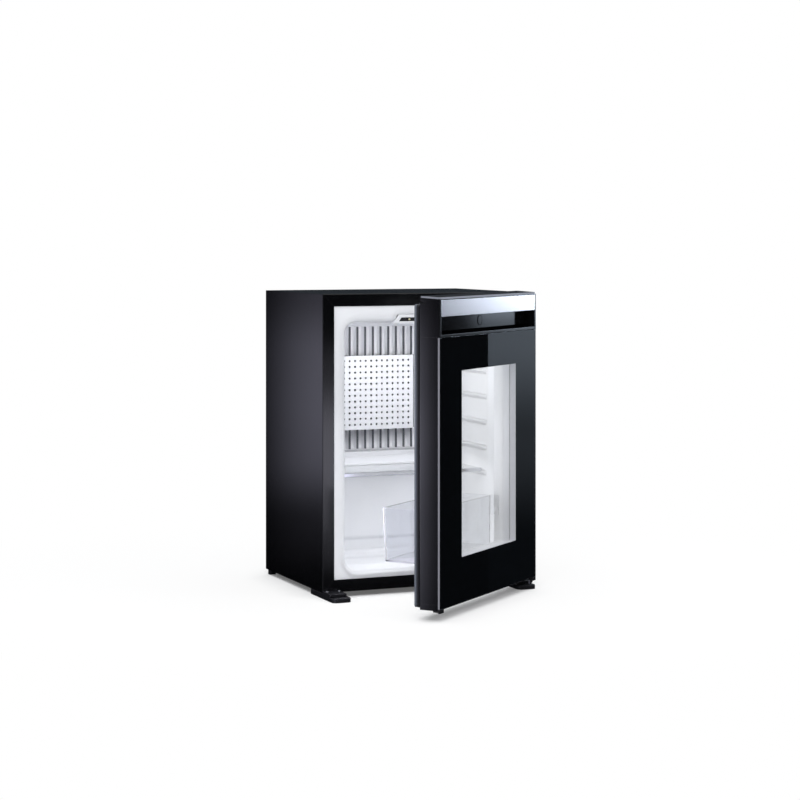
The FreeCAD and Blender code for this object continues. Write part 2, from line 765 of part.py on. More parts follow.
def evaporator_guard():
    """Perforated sheet in front of the fins, folded back at both sides onto the fin plate."""
    half = FIN_SPAN_HALF + GUARD_SIDE_GAP + GUARD_SHEET
    back = FIN_TIP - GUARD_STANDOFF
    face = back - GUARD_SHEET
    inner = half - GUARD_SHEET
    bend_inner = GUARD_BEND - GUARD_SHEET
    corners = [
        (-half, face, GUARD_BEND),
        (half, face, GUARD_BEND),
        (half, EVAPORATOR_FRONT, 0),
        (inner, EVAPORATOR_FRONT, 0),
        (inner, back, bend_inner),
        (-inner, back, bend_inner),
        (-inner, EVAPORATOR_FRONT, 0),
        (-half, EVAPORATOR_FRONT, 0),
    ]
    low = BASE + GUARD_LOW
    sheet = prism(outline(corners, flat_xy(low)), UP * GUARD_HEIGHT)
    holes = []
    middle = low + GUARD_HEIGHT / 2
    for column in range(GUARD_COLUMNS):
        for row in range(GUARD_ROWS):
            x = (column - (GUARD_COLUMNS - 1) / 2) * GUARD_HOLE_PITCH
            z = middle + (row - (GUARD_ROWS - 1) / 2) * GUARD_HOLE_PITCH
            holes.append(guard_hole(x, z, face - OVERRUN))
    depth = box(-inner, inner, face - OVERRUN, back + GUARD_STANDOFF / 2, low, low + GUARD_HEIGHT)
    return sheet.cut(Part.makeCompound(holes).common(depth))


def guard_hole(x, z, y):
    """Punch for one hole of the guard, with few sides."""
    corners = []
    for index in range(GUARD_HOLE_SIDES):
        angle = 2 * math.pi * index / GUARD_HOLE_SIDES
        radius = GUARD_HOLE_WIDTH / 2
        corners.append((x + radius * math.cos(angle), z + radius * math.sin(angle), 0))
    return prism(outline(corners, flat_xz(y)), BACKWARD * (OVERRUN + OVERRUN))


def drip_gutter():
    """Open trough below the fins that leads melt water to the drain."""
    half = EVAPORATOR_HALF + GUTTER_OVERHANG
    high = BASE + EVAPORATOR_LOW - GUTTER_DROP
    low = high - GUTTER_HEIGHT
    front = CAVITY_BACK - GUTTER_DEPTH
    corners = [
        (front, high, 0),
        (front, low, GUTTER_ROUND),
        (CAVITY_BACK, low, 0),
        (CAVITY_BACK, high, 0),
    ]
    body = prism(outline(corners, flat_yz(-half)), RIGHTWARD * (half + half))
    inner_half = half - GUTTER_WALL
    hollow_corners = [
        (front + GUTTER_WALL, high + OVERRUN, 0),
        (front + GUTTER_WALL, low + GUTTER_WALL, GUTTER_ROUND - GUTTER_WALL),
        (CAVITY_BACK - GUTTER_WALL, low + GUTTER_WALL, 0),
        (CAVITY_BACK - GUTTER_WALL, high + OVERRUN, 0),
    ]
    hollow = prism(outline(hollow_corners, flat_yz(-inner_half)), RIGHTWARD * (inner_half * 2))
    return body.cut(hollow).cut(drain_rod(DRAIN_RADIUS + FIT_GAP))


def drain_rod(radius):
    """Level bar along the drain, from the gutter's rear wall out through the back."""
    start = Vector(0, CAVITY_BACK - GUTTER_WALL, drain_level())
    return rod(radius, start, BACKWARD, BACK - start.y + DRAIN_PROUD)


def drain_level():
    """Height of the drain's axis, just above the gutter's floor."""
    gutter_low = BASE + EVAPORATOR_LOW - GUTTER_DROP - GUTTER_HEIGHT
    return gutter_low + GUTTER_WALL + DRAIN_RADIUS


def drain_tube():
    """Drain tube through the back wall."""
    return drain_rod(DRAIN_RADIUS).cut(drain_rod(DRAIN_BORE))


# Lamp and control housing


def lamp_pocket(grow):
    """Space in the ceiling lip that takes the back of the lamp housing."""
    half = LAMP_POCKET_HALF + grow
    front = LINER_FRONT - OVERRUN
    back = FRONT + LAMP_POCKET_DEPTH + grow
    high = CAVITY_CEILING + LAMP_POCKET_RISE + grow
    return box(-half, half, front, back, CAVITY_CEILING - grow, high)


def lamp_block():
    """Lamp housing before its openings are cut: a wedge with slanted ends under the ceiling lip."""
    front = FRONT + LAMP_FRONT_INSET
    back = FRONT + LAMP_DEPTH
    high = CAVITY_CEILING + LAMP_RISE
    side_view = [
        (front, high, 0),
        (front, LAMP_LOW, LAMP_NOSE_ROUND),
        (back, LAMP_LOW, LAMP_NOSE_ROUND),
        (back, high, 0),
    ]
    width = LAMP_LOW_HALF + LAMP_LOW_HALF
    side = prism(outline(side_view, flat_yz(-LAMP_LOW_HALF)), RIGHTWARD * width)
    front_view = [
        (-LAMP_LOW_HALF, LAMP_LOW, 0),
        (LAMP_LOW_HALF, LAMP_LOW, 0),
        (LAMP_HIGH_HALF, high, 0),
        (-LAMP_HIGH_HALF, high, 0),
    ]
    ends = prism(outline(front_view, flat_xz(front - OVERRUN)), BACKWARD * (LAMP_DEPTH + OVERRUN))
    wedge = side.common(ends)
    pocket = lamp_pocket(0).common(wedge)
    return wedge.common(cavity(0)).fuse(pocket).removeSplitter()


def strip_space(grow):
    """Slot for the control strip, with ends as slanted as those of the lamp housing."""
    front = FRONT + LAMP_FRONT_INSET - OVERRUN
    low = CAVITY_CEILING + STRIP_RISE
    half = STRIP_HALF + grow
    lean = (LAMP_LOW_HALF - LAMP_HIGH_HALF) / (LAMP_RISE + LAMP_DROP)
    high_half = half - STRIP_HEIGHT * lean
    high = low + STRIP_HEIGHT + grow
    corners = [
        (-half, low - grow, 0),
        (half, low - grow, 0),
        (high_half, high, 0),
        (-high_half, high, 0),
    ]
    return prism(outline(corners, flat_xz(front)), BACKWARD * (OVERRUN + STRIP_DEPTH + grow))


def strip_middle():
    """Height of the middle line of the control strip."""
    return CAVITY_CEILING + STRIP_RISE + STRIP_HEIGHT / 2


def led_rod(radius):
    """Bar along the indicator lamp."""
    front = FRONT + LAMP_FRONT_INSET - LED_PROUD
    return rod(radius, Vector(LED_PLACE, front, strip_middle()), BACKWARD, LED_LENGTH)


def button_rod(radius, extra):
    """Bar along the push button, made longer by extra at its back."""
    front = FRONT + LAMP_FRONT_INSET - BUTTON_PROUD
    length = BUTTON_LENGTH + extra
    return rod(radius, Vector(0, front, strip_middle()), BACKWARD, length)


def button_space():
    """Hole that the push button travels in."""
    return button_rod(BUTTON_RADIUS + MOVING_GAP, BUTTON_TRAVEL + MOVING_GAP)


def light_housing():
    """White housing of the inner light with the slot for the control strip."""
    housing = lamp_block().cut(strip_space(FIT_GAP)).cut(led_rod(LED_RADIUS + FIT_GAP))
    housing = housing.cut(button_space())
    return housing.cut(diffuser_space(FIT_GAP))


def diffuser_space(grow):
    """Space of the diffuser in the underside of the housing."""
    half = DIFFUSER_HALF + grow
    front = FRONT + DIFFUSER_INSET
    back = front + DIFFUSER_DEPTH
    low = LAMP_LOW - DIFFUSER_PROUD
    return box(-half, half, front - grow, back + grow, low, low + DIFFUSER_THICKNESS + grow)


def light_diffuser():
    """Milky diffuser let into the underside of the lamp housing."""
    return diffuser_space(0)


def control_strip():
    """Black control strip with holes for the indicator and the button."""
    front = FRONT + LAMP_FRONT_INSET
    inside = box(-STRIP_HALF, STRIP_HALF, front, front + STRIP_DEPTH, BASE, TOP)
    strip = strip_space(0).common(inside)
    return strip.cut(led_rod(LED_RADIUS + FIT_GAP)).cut(button_space())


def indicator_led():
    """Small round indicator lamp."""
    return led_rod(LED_RADIUS)


def temperature_button():
    """Push button that steps through the temperatures."""
    return button_rod(BUTTON_RADIUS, 0)


# Shelf


def shelf_plate():
    """Glass shelf plate with rounded corners."""
    half = CAVITY_HALF - SHELF_SIDE_GAP
    front = FRONT + SHELF_FRONT + TRIM_WALL + FIT_GAP
    back = SHELF_BACK - TRIM_WALL - FIT_GAP
    return plate_xy(-half, half, front, back, SHELF_ROUND, SHELF_LOW, SHELF_LOW + SHELF_THICKNESS)


def shelf_edge(front, inward, stop_height):
    """Channel that grips one long edge of the shelf plate, with an optional stop above it."""
    half = CAVITY_HALF - RIB_DEPTH - TRIM_SIDE_GAP
    low = SHELF_LOW - FIT_GAP - TRIM_WALL
    high = SHELF_LOW + SHELF_THICKNESS + FIT_GAP + TRIM_WALL
    inner = front + inward * TRIM_WALL
    reach = front + inward * TRIM_DEPTH
    slot_low = SHELF_LOW - FIT_GAP
    slot_high = SHELF_LOW + SHELF_THICKNESS + FIT_GAP
    corners = [
        (front, low, TRIM_ROUND),
        (reach, low, 0),
        (reach, slot_low, 0),
        (inner, slot_low, 0),
        (inner, slot_high, 0),
        (reach, slot_high, 0),
        (reach, high, 0),
        (inner, high, 0),
        (inner, high + stop_height, 0),
        (front, high + stop_height, 0),
    ]
    if stop_height == 0:
        corners = corners[:7] + [(front, high, TRIM_ROUND)]
    return prism(outline(corners, flat_yz(-half)), RIGHTWARD * (half + half))


def shelf_front_trim():
    """Bright front edge of the shelf."""
    return shelf_edge(FRONT + SHELF_FRONT, 1, 0)


def shelf_rear_stop():
    """Rear edge of the shelf with an upstand that keeps things off the fins."""
    return shelf_edge(SHELF_BACK, -1, REAR_STOP_HEIGHT)


# Feet and lower hinge


def front_foot():
    """Right front foot: a rounded plate and a ledge with a groove between them."""
    inner = HALF_WIDTH - FOOT_WIDTH
    nose = FRONT - FOOT_REACH
    ledge_nose = nose + FOOT_LEDGE_SETBACK
    groove_top = FOOT_PLATE + FOOT_GROOVE
    plan = [
        (inner, nose, FOOT_PLATE_ROUND),
        (HALF_WIDTH, nose, FOOT_PLATE_ROUND),
        (HALF_WIDTH, FRONT + FOOT_REAR, 0),
        (inner, FRONT + FOOT_REAR, 0),
    ]
    plate = prism(outline(plan, flat_xy(0)), UP * FOOT_PLATE)
    top_edges = [e for e in plate.Edges if near(e.BoundBox.ZMin, FOOT_PLATE)]
    plate = plate.makeFillet(FOOT_EDGE_ROUND, top_edges)
    ledge_view = [
        (ledge_nose, groove_top, 0),
        (ledge_nose, FOOT_LEDGE, FOOT_EDGE_ROUND),
        (FRONT, FOOT_LEDGE, 0),
        (FRONT, BASE, 0),
        (FRONT + FOOT_REAR - FOOT_EDGE_ROUND, BASE, 0),
        (FRONT + FOOT_REAR - FOOT_EDGE_ROUND, FOOT_PLATE - FOOT_EDGE_ROUND, 0),
        (ledge_nose + FOOT_GROOVE_DEPTH, FOOT_PLATE - FOOT_EDGE_ROUND, 0),
        (ledge_nose + FOOT_GROOVE_DEPTH, groove_top, 0),
    ]
    ledge_width = FOOT_WIDTH - FOOT_LEDGE_INSET
    start = inner + FOOT_LEDGE_INSET
    ledge = prism(outline(ledge_view, flat_yz(start)), RIGHTWARD * ledge_width)
    rib_start = start + (ledge_width - FOOT_RIB_WIDTH) / 2
    rib = box(
        rib_start,
        rib_start + FOOT_RIB_WIDTH,
        ledge_nose + FOOT_EDGE_ROUND,
        ledge_nose + FOOT_GROOVE_DEPTH,
        FOOT_PLATE - FOOT_EDGE_ROUND,
        groove_top,
    )
    return joined([plate, ledge, rib])


def right_hinge_foot():
    """Right front foot with the seat of the hinge pin."""
    seat = rod(PIN_RADIUS + PRESS_GAP, Vector(AXIS_X, AXIS_Y, PIN_SEAT), UP, FOOT_LEDGE)
    return front_foot().cut(seat)


def left_hinge_foot():
    """Left front foot, whose seat stays free for a door hung on the other side."""
    return mirrored(right_hinge_foot())


def lower_hinge_pin():
    """Steel pin that stands in the right foot and carries the door."""
    top = DOOR_LOW + PIN_GRIP
    pin = rod(PIN_RADIUS, Vector(AXIS_X, AXIS_Y, PIN_SEAT), UP, top - PIN_SEAT)
    rim = [e for e in pin.Edges if near(e.BoundBox.ZMin, top)]
    return pin.makeChamfer(PIN_RADIUS / 4, rim)


def rear_feet():
    """Pair of small blocks under the back corners."""
    outer = HALF_WIDTH - REAR_FOOT_INSET
    inner = outer - REAR_FOOT_WIDTH
    back = BACK - REAR_FOOT_INSET
    front = back - REAR_FOOT_DEPTH
    block = plate_xy(inner, outer, front, back, REAR_FOOT_ROUND, 0, BASE)
    return Part.makeCompound([block, mirrored(block)])


# Upper hinge


def upper_hinge_bracket():
    """Flat arm with a round end over the axis and a tab on the casing's border."""
    high = SLOT_HIGH - (SLOT_HEIGHT - BRACKET_PLATE) / 2
    low = high - BRACKET_PLATE
    tab_front = FRONT - BRACKET_TAB_THICKNESS
    arm = box(AXIS_X - BRACKET_HALF, AXIS_X + BRACKET_HALF, AXIS_Y, tab_front, low, high)
    end = rod(BRACKET_HALF, Vector(AXIS_X, AXIS_Y, low), UP, BRACKET_PLATE)
    tab_high = TOP - BRACKET_TAB_DROP
    tab_right = AXIS_X + BRACKET_HALF
    tab = box(
        tab_right - BRACKET_TAB_LENGTH,
        tab_right,
        tab_front,
        FRONT,
        tab_high - BRACKET_TAB_HEIGHT,
        tab_high,
    )
    corner = edges_along(tab, BACKWARD, lambda c: near(c.x, tab_right - BRACKET_TAB_LENGTH))
    tab = tab.makeFillet(BRACKET_TAB_ROUND, corner)
    whole = joined([arm, end, tab])
    return whole.cut(rod(PIN_RADIUS + PRESS_GAP, Vector(AXIS_X, AXIS_Y, BASE), UP, CASE_HEIGHT))


def upper_hinge_pin():
    """Pin that hangs from the bracket into the door."""
    high = SLOT_HIGH - (SLOT_HEIGHT - BRACKET_PLATE) / 2
    low = SLOT_LOW - PIN_GRIP
    return rod(PIN_RADIUS, Vector(AXIS_X, AXIS_Y, low), UP, high - low)


# Door


def bush_axes():
    """Points on the hinge axis and on the matching line at the door's free edge."""
    return [Vector(AXIS_X, AXIS_Y, 0), Vector(-AXIS_X, AXIS_Y, 0)]


def lower_bush_sleeves(radius, extra):
    """Upright bars where the lower bushes sit in the door, lengthened by extra."""
    height = CAP_DROP + PIN_GRIP + BUSH_FLOOR + extra
    return [rod(radius, Vector(p.x, p.y, CAP_LOW), UP, height) for p in bush_axes()]


def lower_hinge_bushes():
    """Pair of bushes under the door, each on a pad with a lip below the pane; one is a spare."""
    low = CAP_LOW - BUSH_PAD_HEIGHT
    pad = plate_xy(
        DOOR_RIGHT - BUSH_PAD_WIDTH,
        DOOR_RIGHT,
        DOOR_FRONT,
        DOOR_FRONT + BUSH_PAD_DEPTH,
        BUSH_PAD_ROUND,
        low,
        CAP_LOW,
    )
    lip = plate_xy(
        DOOR_RIGHT - BUSH_PAD_WIDTH,
        DOOR_RIGHT,
        DOOR_FRONT,
        DOOR_FRONT + GLASS_THICKNESS - FIT_GAP,
        BUSH_PAD_ROUND,
        low - BUSH_LIP_HEIGHT,
        DOOR_LOW,
    )
    sleeve = lower_bush_sleeves(BUSH_RADIUS, 0)[0]
    start = Vector(AXIS_X, AXIS_Y, low - OVERRUN)
    length = DOOR_LOW + PIN_GRIP + MOVING_GAP - start.z
    bush = joined([pad, lip, sleeve]).cut(rod(PIN_RADIUS + PIN_RUNNING_GAP, start, UP, length))
    return Part.makeCompound([bush, mirrored(bush)])


def upper_bush_sleeves(radius, extra):
    """Upright bars where the upper bushes sit in the handle housing."""
    low = SLOT_LOW - PIN_GRIP - BUSH_FLOOR - extra
    return [rod(radius, Vector(p.x, p.y, low), UP, SLOT_LOW - low) for p in bush_axes()]


def upper_hinge_bushes():
    """Pair of plain bushes in the top of the door; the one at the free edge is a spare."""
    bushes = []
    for place, sleeve in zip(bush_axes(), upper_bush_sleeves(BUSH_RADIUS, 0)):
        low = SLOT_LOW - PIN_GRIP - MOVING_GAP
        bore = rod(PIN_RADIUS + PIN_RUNNING_GAP, Vector(place.x, place.y, low), UP, CASE_HEIGHT)
        bushes.append(sleeve.cut(bore))
    return Part.makeCompound(bushes)


def window_plate(spread, radius, t0, t1):
    """Plate over the window, larger than it by spread on every side."""
    low = DOOR_LOW + WINDOW_LOW
    return door_plate(
        WINDOW_MARGIN - spread,
        DOOR_WIDTH - WINDOW_MARGIN + spread,
        low - spread,
        low + WINDOW_HEIGHT + spread,
        radius,
        t0,
        t1,
    )


def front_glass():
    """Front pane over the whole door below the handle, with ground edges."""
    pane = door_box(0, DOOR_WIDTH, 0, GLASS_THICKNESS, DOOR_LOW, HANDLE_LOW)
    front_edges = [e for e in pane.Edges if near(e.BoundBox.YMax, DOOR_FRONT)]
    return pane.makeChamfer(GLASS_EDGE, front_edges)


def glazing_spacer():
    """Spacer ring between the two panes."""
    t0 = GLASS_THICKNESS
    t1 = INNER_GLASS_FRONT
    outer = window_plate(GLAZING_LAP, WINDOW_CORNER, t0, t1)
    inner = window_plate(SPACER_REVEAL, WINDOW_CORNER, t0 - OVERRUN, t1 + OVERRUN)
    return outer.cut(inner)


def inner_glass():
    """Inner pane behind the spacer."""
    return window_plate(GLAZING_LAP, WINDOW_CORNER, INNER_GLASS_FRONT, INNER_GLASS_BACK)


def door_frame():
    """Insulated door frame around the glazing, with a lip behind the inner pane."""
    block = door_box(0, DOOR_WIDTH, GLASS_THICKNESS, DOOR_BODY_DEPTH, FRAME_LOW, HANDLE_LOW)
    back = DOOR_FRONT + DOOR_BODY_DEPTH
    block = block.makeFillet(DOOR_EDGE_ROUND, edges_along(block, UP, lambda c: near(c.y, back)))
    seat = window_plate(
        GLAZING_LAP + FIT_GAP,
        WINDOW_CORNER + FIT_GAP,
        GLASS_THICKNESS - OVERRUN,
        INNER_GLASS_BACK + FIT_GAP,
    )
    through = window_plate(FRAME_REVEAL, WINDOW_CORNER, 0, DOOR_BODY_DEPTH + OVERRUN)
    frame = block.cut(seat).cut(through)
    for sleeve in lower_bush_sleeves(BUSH_HOLE, FIT_GAP):
        frame = frame.cut(sleeve)
    return frame


def door_bottom_cap():
    """Plastic cap along the bottom of the door."""
    cap = door_box(0, DOOR_WIDTH, GLASS_THICKNESS, DOOR_BODY_DEPTH, CAP_LOW, FRAME_LOW)
    back = DOOR_FRONT + DOOR_BODY_DEPTH
    cap = cap.makeFillet(DOOR_EDGE_ROUND, edges_along(cap, UP, lambda c: near(c.y, back)))
    for sleeve in lower_bush_sleeves(BUSH_HOLE, FIT_GAP):
        cap = cap.cut(sleeve)
    return cap


def handle_housing():
    """Moulded top of the door with the finger recess and the hinge slots."""
    back = DOOR_FRONT + DOOR_BODY_DEPTH
    block_view = [
        (DOOR_FRONT, HANDLE_LOW, 0),
        (back, HANDLE_LOW, 0),
        (back, DOOR_HIGH + TOP_CAP_RISE, 0),
        (DOOR_FRONT, DOOR_HIGH, 0),
    ]
    block = prism(outline(block_view, flat_yz(DOOR_RIGHT - DOOR_WIDTH)), RIGHTWARD * DOOR_WIDTH)
    block = block.makeFillet(DOOR_EDGE_ROUND, edges_along(block, UP, lambda c: near(c.y, back)))
    recess_view = [
        (DOOR_FRONT - OVERRUN, RECESS_LOW, 0),
        (DOOR_FRONT + RECESS_DEPTH, RECESS_LOW, RECESS_ROUND),
        (DOOR_FRONT + RECESS_DEPTH, FASCIA_LOW, 0),
        (DOOR_FRONT - OVERRUN, FASCIA_LOW, 0),
    ]
    recess_right = DOOR_RIGHT - HANDLE_END
    recess_width = DOOR_WIDTH - HANDLE_END - HANDLE_END
    recess_wire = outline(recess_view, flat_yz(recess_right - recess_width))
    housing = block.cut(prism(recess_wire, RIGHTWARD * recess_width))
    grip = door_box(
        GRIP_INSET,
        DOOR_WIDTH - GRIP_INSET,
        FASCIA_LIP + FASCIA_THICKNESS,
        RECESS_DEPTH,
        FASCIA_LOW - OVERRUN,
        FASCIA_LOW + GRIP_HEIGHT,
    )
    grip_top = FASCIA_LOW + GRIP_HEIGHT
    grip = grip.makeFillet(RECESS_ROUND, edges_along(grip, RIGHTWARD, lambda c: near(c.z, grip_top)))
    housing = housing.cut(grip).cut(fascia_shape(FIT_GAP))
    hinge_slot = door_box(
        -OVERRUN,
        AXIS_SIDE + SLOT_INNER,
        SLOT_SKIN,
        DOOR_BODY_DEPTH + OVERRUN,
        SLOT_LOW,
        DOOR_HIGH + TOP_CAP_RISE + OVERRUN,
    )
    spare_slot = door_box(
        DOOR_WIDTH - SPARE_SLOT_LENGTH,
        DOOR_WIDTH + OVERRUN,
        SPARE_SLOT_FRONT,
        DOOR_BODY_DEPTH + OVERRUN,
        SLOT_LOW,
        SLOT_HIGH,
    )
    housing = housing.cut(hinge_slot).cut(spare_slot)
    for sleeve in upper_bush_sleeves(BUSH_HOLE, FIT_GAP):
        housing = housing.cut(sleeve)
    return housing


def door_top_cap():
    """Cap that closes the top of the door and rises towards the back, with round corners."""
    left = DOOR_RIGHT - DOOR_WIDTH
    back = DOOR_FRONT + DOOR_BODY_DEPTH
    rear_low = DOOR_HIGH + TOP_CAP_RISE
    rear_high = rear_low + TOP_CAP_THICKNESS
    side_view = [
        (DOOR_FRONT, DOOR_HIGH, 0),
        (back, rear_low, 0),
        (back, rear_high, TOP_CAP_ROUND),
        (DOOR_FRONT, DOOR_HIGH + TOP_CAP_THICKNESS, TOP_CAP_ROUND),
    ]
    slab = prism(outline(side_view, flat_yz(left)), RIGHTWARD * DOOR_WIDTH)
    plan = plate_xy(left, DOOR_RIGHT, DOOR_FRONT, back, TOP_CAP_CORNER, DOOR_HIGH, rear_high)
    return slab.common(plan)


def fascia_shape(grow):
    """Bright strip with a lip that turns back under it as the finger grip, larger by grow."""
    low = FASCIA_LOW - grow
    high = FASCIA_HIGH + grow
    skin = FASCIA_THICKNESS + grow
    lip = FASCIA_THICKNESS + FASCIA_LIP + grow
    view = [
        (DOOR_FRONT, low, 0),
        (DOOR_FRONT + lip, low, 0),
        (DOOR_FRONT + lip, FASCIA_LOW + FASCIA_THICKNESS + grow, 0),
        (DOOR_FRONT + skin, FASCIA_LOW + FASCIA_THICKNESS + grow, 0),
        (DOOR_FRONT + skin, high, 0),
        (DOOR_FRONT, high, 0),
    ]
    left = DOOR_RIGHT - DOOR_WIDTH + HANDLE_END - grow
    right = DOOR_RIGHT - HANDLE_END + grow
    return prism(outline(view, flat_yz(left)), RIGHTWARD * (right - left))


def handle_strip():
    """Bright strip along the top of the door."""
    return fascia_shape(0)


def recess_panel():
    """Glossy panel at the back of the finger recess, with the hole of the lock plug."""
    panel = door_box(
        HANDLE_END + FIT_GAP,
        DOOR_WIDTH - HANDLE_END - FIT_GAP,
        RECESS_DEPTH - PANEL_THICKNESS,
        RECESS_DEPTH,
        RECESS_LOW + RECESS_ROUND,
        FASCIA_LOW,
    )
    return panel.cut(plug_rod(LOCK_RADIUS + FIT_GAP, OVERRUN))


def plug_rod(radius, extra):
    """Bar along the lock plug's axis, from a little in front of the panel to the recess wall."""
    proud = LOCK_PROUD + extra
    start = DOOR_FRONT + RECESS_DEPTH - PANEL_THICKNESS - proud
    centre = Vector(DOOR_RIGHT - DOOR_WIDTH / 2, start, RECESS_LOW + LOCK_RISE)
    return rod(radius, centre, BACKWARD, PANEL_THICKNESS + proud)


def lock_plug():
    """Round blank plug where a lock can be fitted."""
    plug = plug_rod(LOCK_RADIUS, 0)
    front = DOOR_FRONT + RECESS_DEPTH - PANEL_THICKNESS - LOCK_PROUD
    rim = [e for e in plug.Edges if near(e.BoundBox.YMax, front)]
    return plug.makeFillet(LOCK_PROUD / 2, rim)


def gasket_ring(inset, t0, t1):
    """One layer of the gasket, set in from both of its edges by inset."""
    width = GASKET_WIDTH - inset
    rings = []
    for step in (inset, width):
        rings.append(
            door_plate(
                GASKET_SIDE_INSET + step,
                DOOR_WIDTH - GASKET_SIDE_INSET - step,
                CAP_LOW + GASKET_LOW_INSET + step,
                DOOR_HIGH - GASKET_TOP_INSET - step,
                GASKET_CORNER,
                t0,
                t1,
            )
        )
    return rings[0].cut(rings[1])


def door_gasket():
    """Bellows gasket around the back of the door: foot, narrow neck and magnet bulb."""
    foot_top = DOOR_BODY_DEPTH + GASKET_FOOT_HEIGHT
    neck_top = foot_top + GASKET_NECK_HEIGHT
    bulb_top = DOOR_STANDOFF - GASKET_FREE_GAP
    foot = gasket_ring(0, DOOR_BODY_DEPTH, foot_top)
    neck = gasket_ring(GASKET_NECK_INSET, foot_top, neck_top)
    bulb = gasket_ring(0, neck_top, bulb_top)
    return joined([foot, neck, bulb])


def inner_door_panel():
    """Panel inside the gasket with two posts and the studs that carry the rack."""
    inset = GASKET_WIDTH + INNER_PANEL_GAP
    sheet = door_plate(
        GASKET_SIDE_INSET + inset,
        DOOR_WIDTH - GASKET_SIDE_INSET - inset,
        CAP_LOW + GASKET_LOW_INSET + inset,
        DOOR_HIGH - GASKET_TOP_INSET - inset,
        INNER_PANEL_CORNER,
        DOOR_BODY_DEPTH,
        PANEL_BACK,
    )
    opening = window_plate(FRAME_REVEAL, WINDOW_CORNER, 0, DOOR_BODY_DEPTH + OVERRUN)
    pieces = [sheet.cut(opening)]
    for side in (1, -1):
        pieces.append(rack_post(side))
        pieces.append(rack_stud(side))
    return joined(pieces)


def rack_edge(side):
    """Distance of a rack end from the door's middle line, towards the hinge or the free edge."""
    return DOOR_RIGHT - DOOR_WIDTH / 2 + side * (DOOR_WIDTH / 2 - RACK_SIDE)


def rack_post(side):
    """Upright post beside one end of the rack, with rounded ends."""
    near_x = rack_edge(side) + side * POST_GAP
    far_x = near_x + side * POST_WIDTH
    view = [
        (DOOR_FRONT + DOOR_BODY_DEPTH, DOOR_LOW + POST_LOW, 0),
        (DOOR_FRONT + PANEL_BACK + POST_DEPTH, DOOR_LOW + POST_LOW, POST_ROUND),
        (DOOR_FRONT + PANEL_BACK + POST_DEPTH, DOOR_LOW + POST_HIGH, POST_ROUND),
        (DOOR_FRONT + DOOR_BODY_DEPTH, DOOR_LOW + POST_HIGH, 0),
    ]
    start = min(near_x, far_x)
    return prism(outline(view, flat_yz(start)), RIGHTWARD * POST_WIDTH)


def stud_level():
    """Height of the studs that carry the rack."""
    return BASE + RACK_LOW + RACK_HEIGHT - EAR_HEIGHT + RACK_LIFT - STUD_RADIUS


def rack_stud(side):
    """Round stud on the inner side of one post."""
    start = rack_edge(side) + side * POST_GAP
    place = Vector(start, DOOR_FRONT + STUD_PLACE, stud_level())
    return rod(STUD_RADIUS, place, RIGHTWARD * -side, STUD_LENGTH)


def rack_section(level, inset, spread):
    """Level outline of the rack; the lower end is smaller, and inset makes the inner outline."""
    half = DOOR_WIDTH / 2 - RACK_SIDE - inset - RACK_TAPER * (1 - spread) / 2
    middle = DOOR_RIGHT - DOOR_WIDTH / 2
    back = DOOR_FRONT + RACK_BACK + inset
    front = DOOR_FRONT + RACK_FRONT - inset - RACK_TAPER * (1 - spread)
    return rounded(middle - half, middle + half, back, front, RACK_CORNER - inset, flat_xy(level))


def door_rack():
    """Clear bin that hooks over the studs with an ear at each end."""
    low = BASE + RACK_LOW
    high = low + RACK_HEIGHT
    outer = Part.makeLoft([rack_section(low, 0, 0), rack_section(high, 0, 1)], True, True)
    floor = low + RACK_WALL
    over = high + OVERRUN
    over_share = (over - low) / RACK_HEIGHT
    floor_share = RACK_WALL / RACK_HEIGHT
    sections = [
        rack_section(floor, RACK_WALL, floor_share),
        rack_section(over, RACK_WALL, over_share),
    ]
    bin_shape = outer.cut(Part.makeLoft(sections, True, True))
    pieces = [bin_shape]
    for side in (1, -1):
        pieces.append(rack_ear(side, high))
    return joined(pieces)


def rack_ear(side, high):
    """Ear at one end of the rack, with a slot that is open below and sits over the stud."""
    outer = rack_edge(side)
    inner = outer - side * RACK_WALL
    low = high - EAR_HEIGHT
    back = DOOR_FRONT + PANEL_BACK + EAR_CLEAR
    front = DOOR_FRONT + RACK_BACK + RACK_CORNER
    start = min(outer, inner)
    view = [(back, low, 0), (front, low, 0), (front, high, 0), (back, high, RACK_CORNER)]
    ear = prism(outline(view, flat_yz(start)), RIGHTWARD * RACK_WALL)
    radius = STUD_RADIUS + MOVING_GAP
    centre_y = DOOR_FRONT + STUD_PLACE
    level = stud_level()
    slot = [
        (centre_y - radius, low - OVERRUN, 0),
        (centre_y + radius, low - OVERRUN, 0),
        (centre_y + radius, level + radius, radius),
        (centre_y - radius, level + radius, radius),
    ]
    cut = prism(outline(slot, flat_yz(start - OVERRUN)), RIGHTWARD * (RACK_WALL + OVERRUN * 2))
    return ear.cut(cut)


# Cooling unit


def plug_space(grow):
    """Opening through the back wall that the unit's foam plug fills."""
    half = PLUG_BLOCK_HALF + grow
    low = BASE + PLUG_BLOCK_LOW - grow
    high = BASE + PLUG_BLOCK_LOW + PLUG_BLOCK_HEIGHT + grow
    return box(-half, half, CAVITY_BACK + LINER_WALL, BACK + OVERRUN, low, high)


def insulation_plug():
    """Foam plug behind the evaporator, with a channel for its tube."""
    inside = box(-HALF_WIDTH, HALF_WIDTH, FRONT, BACK, BASE, TOP)
    plug = plug_space(0).common(inside)
    return plug.cut(evaporator_tube_shape(TUBE_RADIUS + FIT_GAP))


def unit_mounting_plate():
    """Plate that closes the opening in the back and carries the cooling unit."""
    low = BASE + PLATE_LOW
    plate = plate_xz(
        -PLATE_HALF,
        PLATE_HALF,
        low,
        low + PLATE_HEIGHT,
        PLATE_CORNER,
        BACK,
        BACK + PLATE_SHEET,
    )
    plate = plate.cut(evaporator_tube_shape(TUBE_RADIUS + FIT_GAP))
    return plate.cut(drain_rod(DRAIN_RADIUS + FIT_GAP))


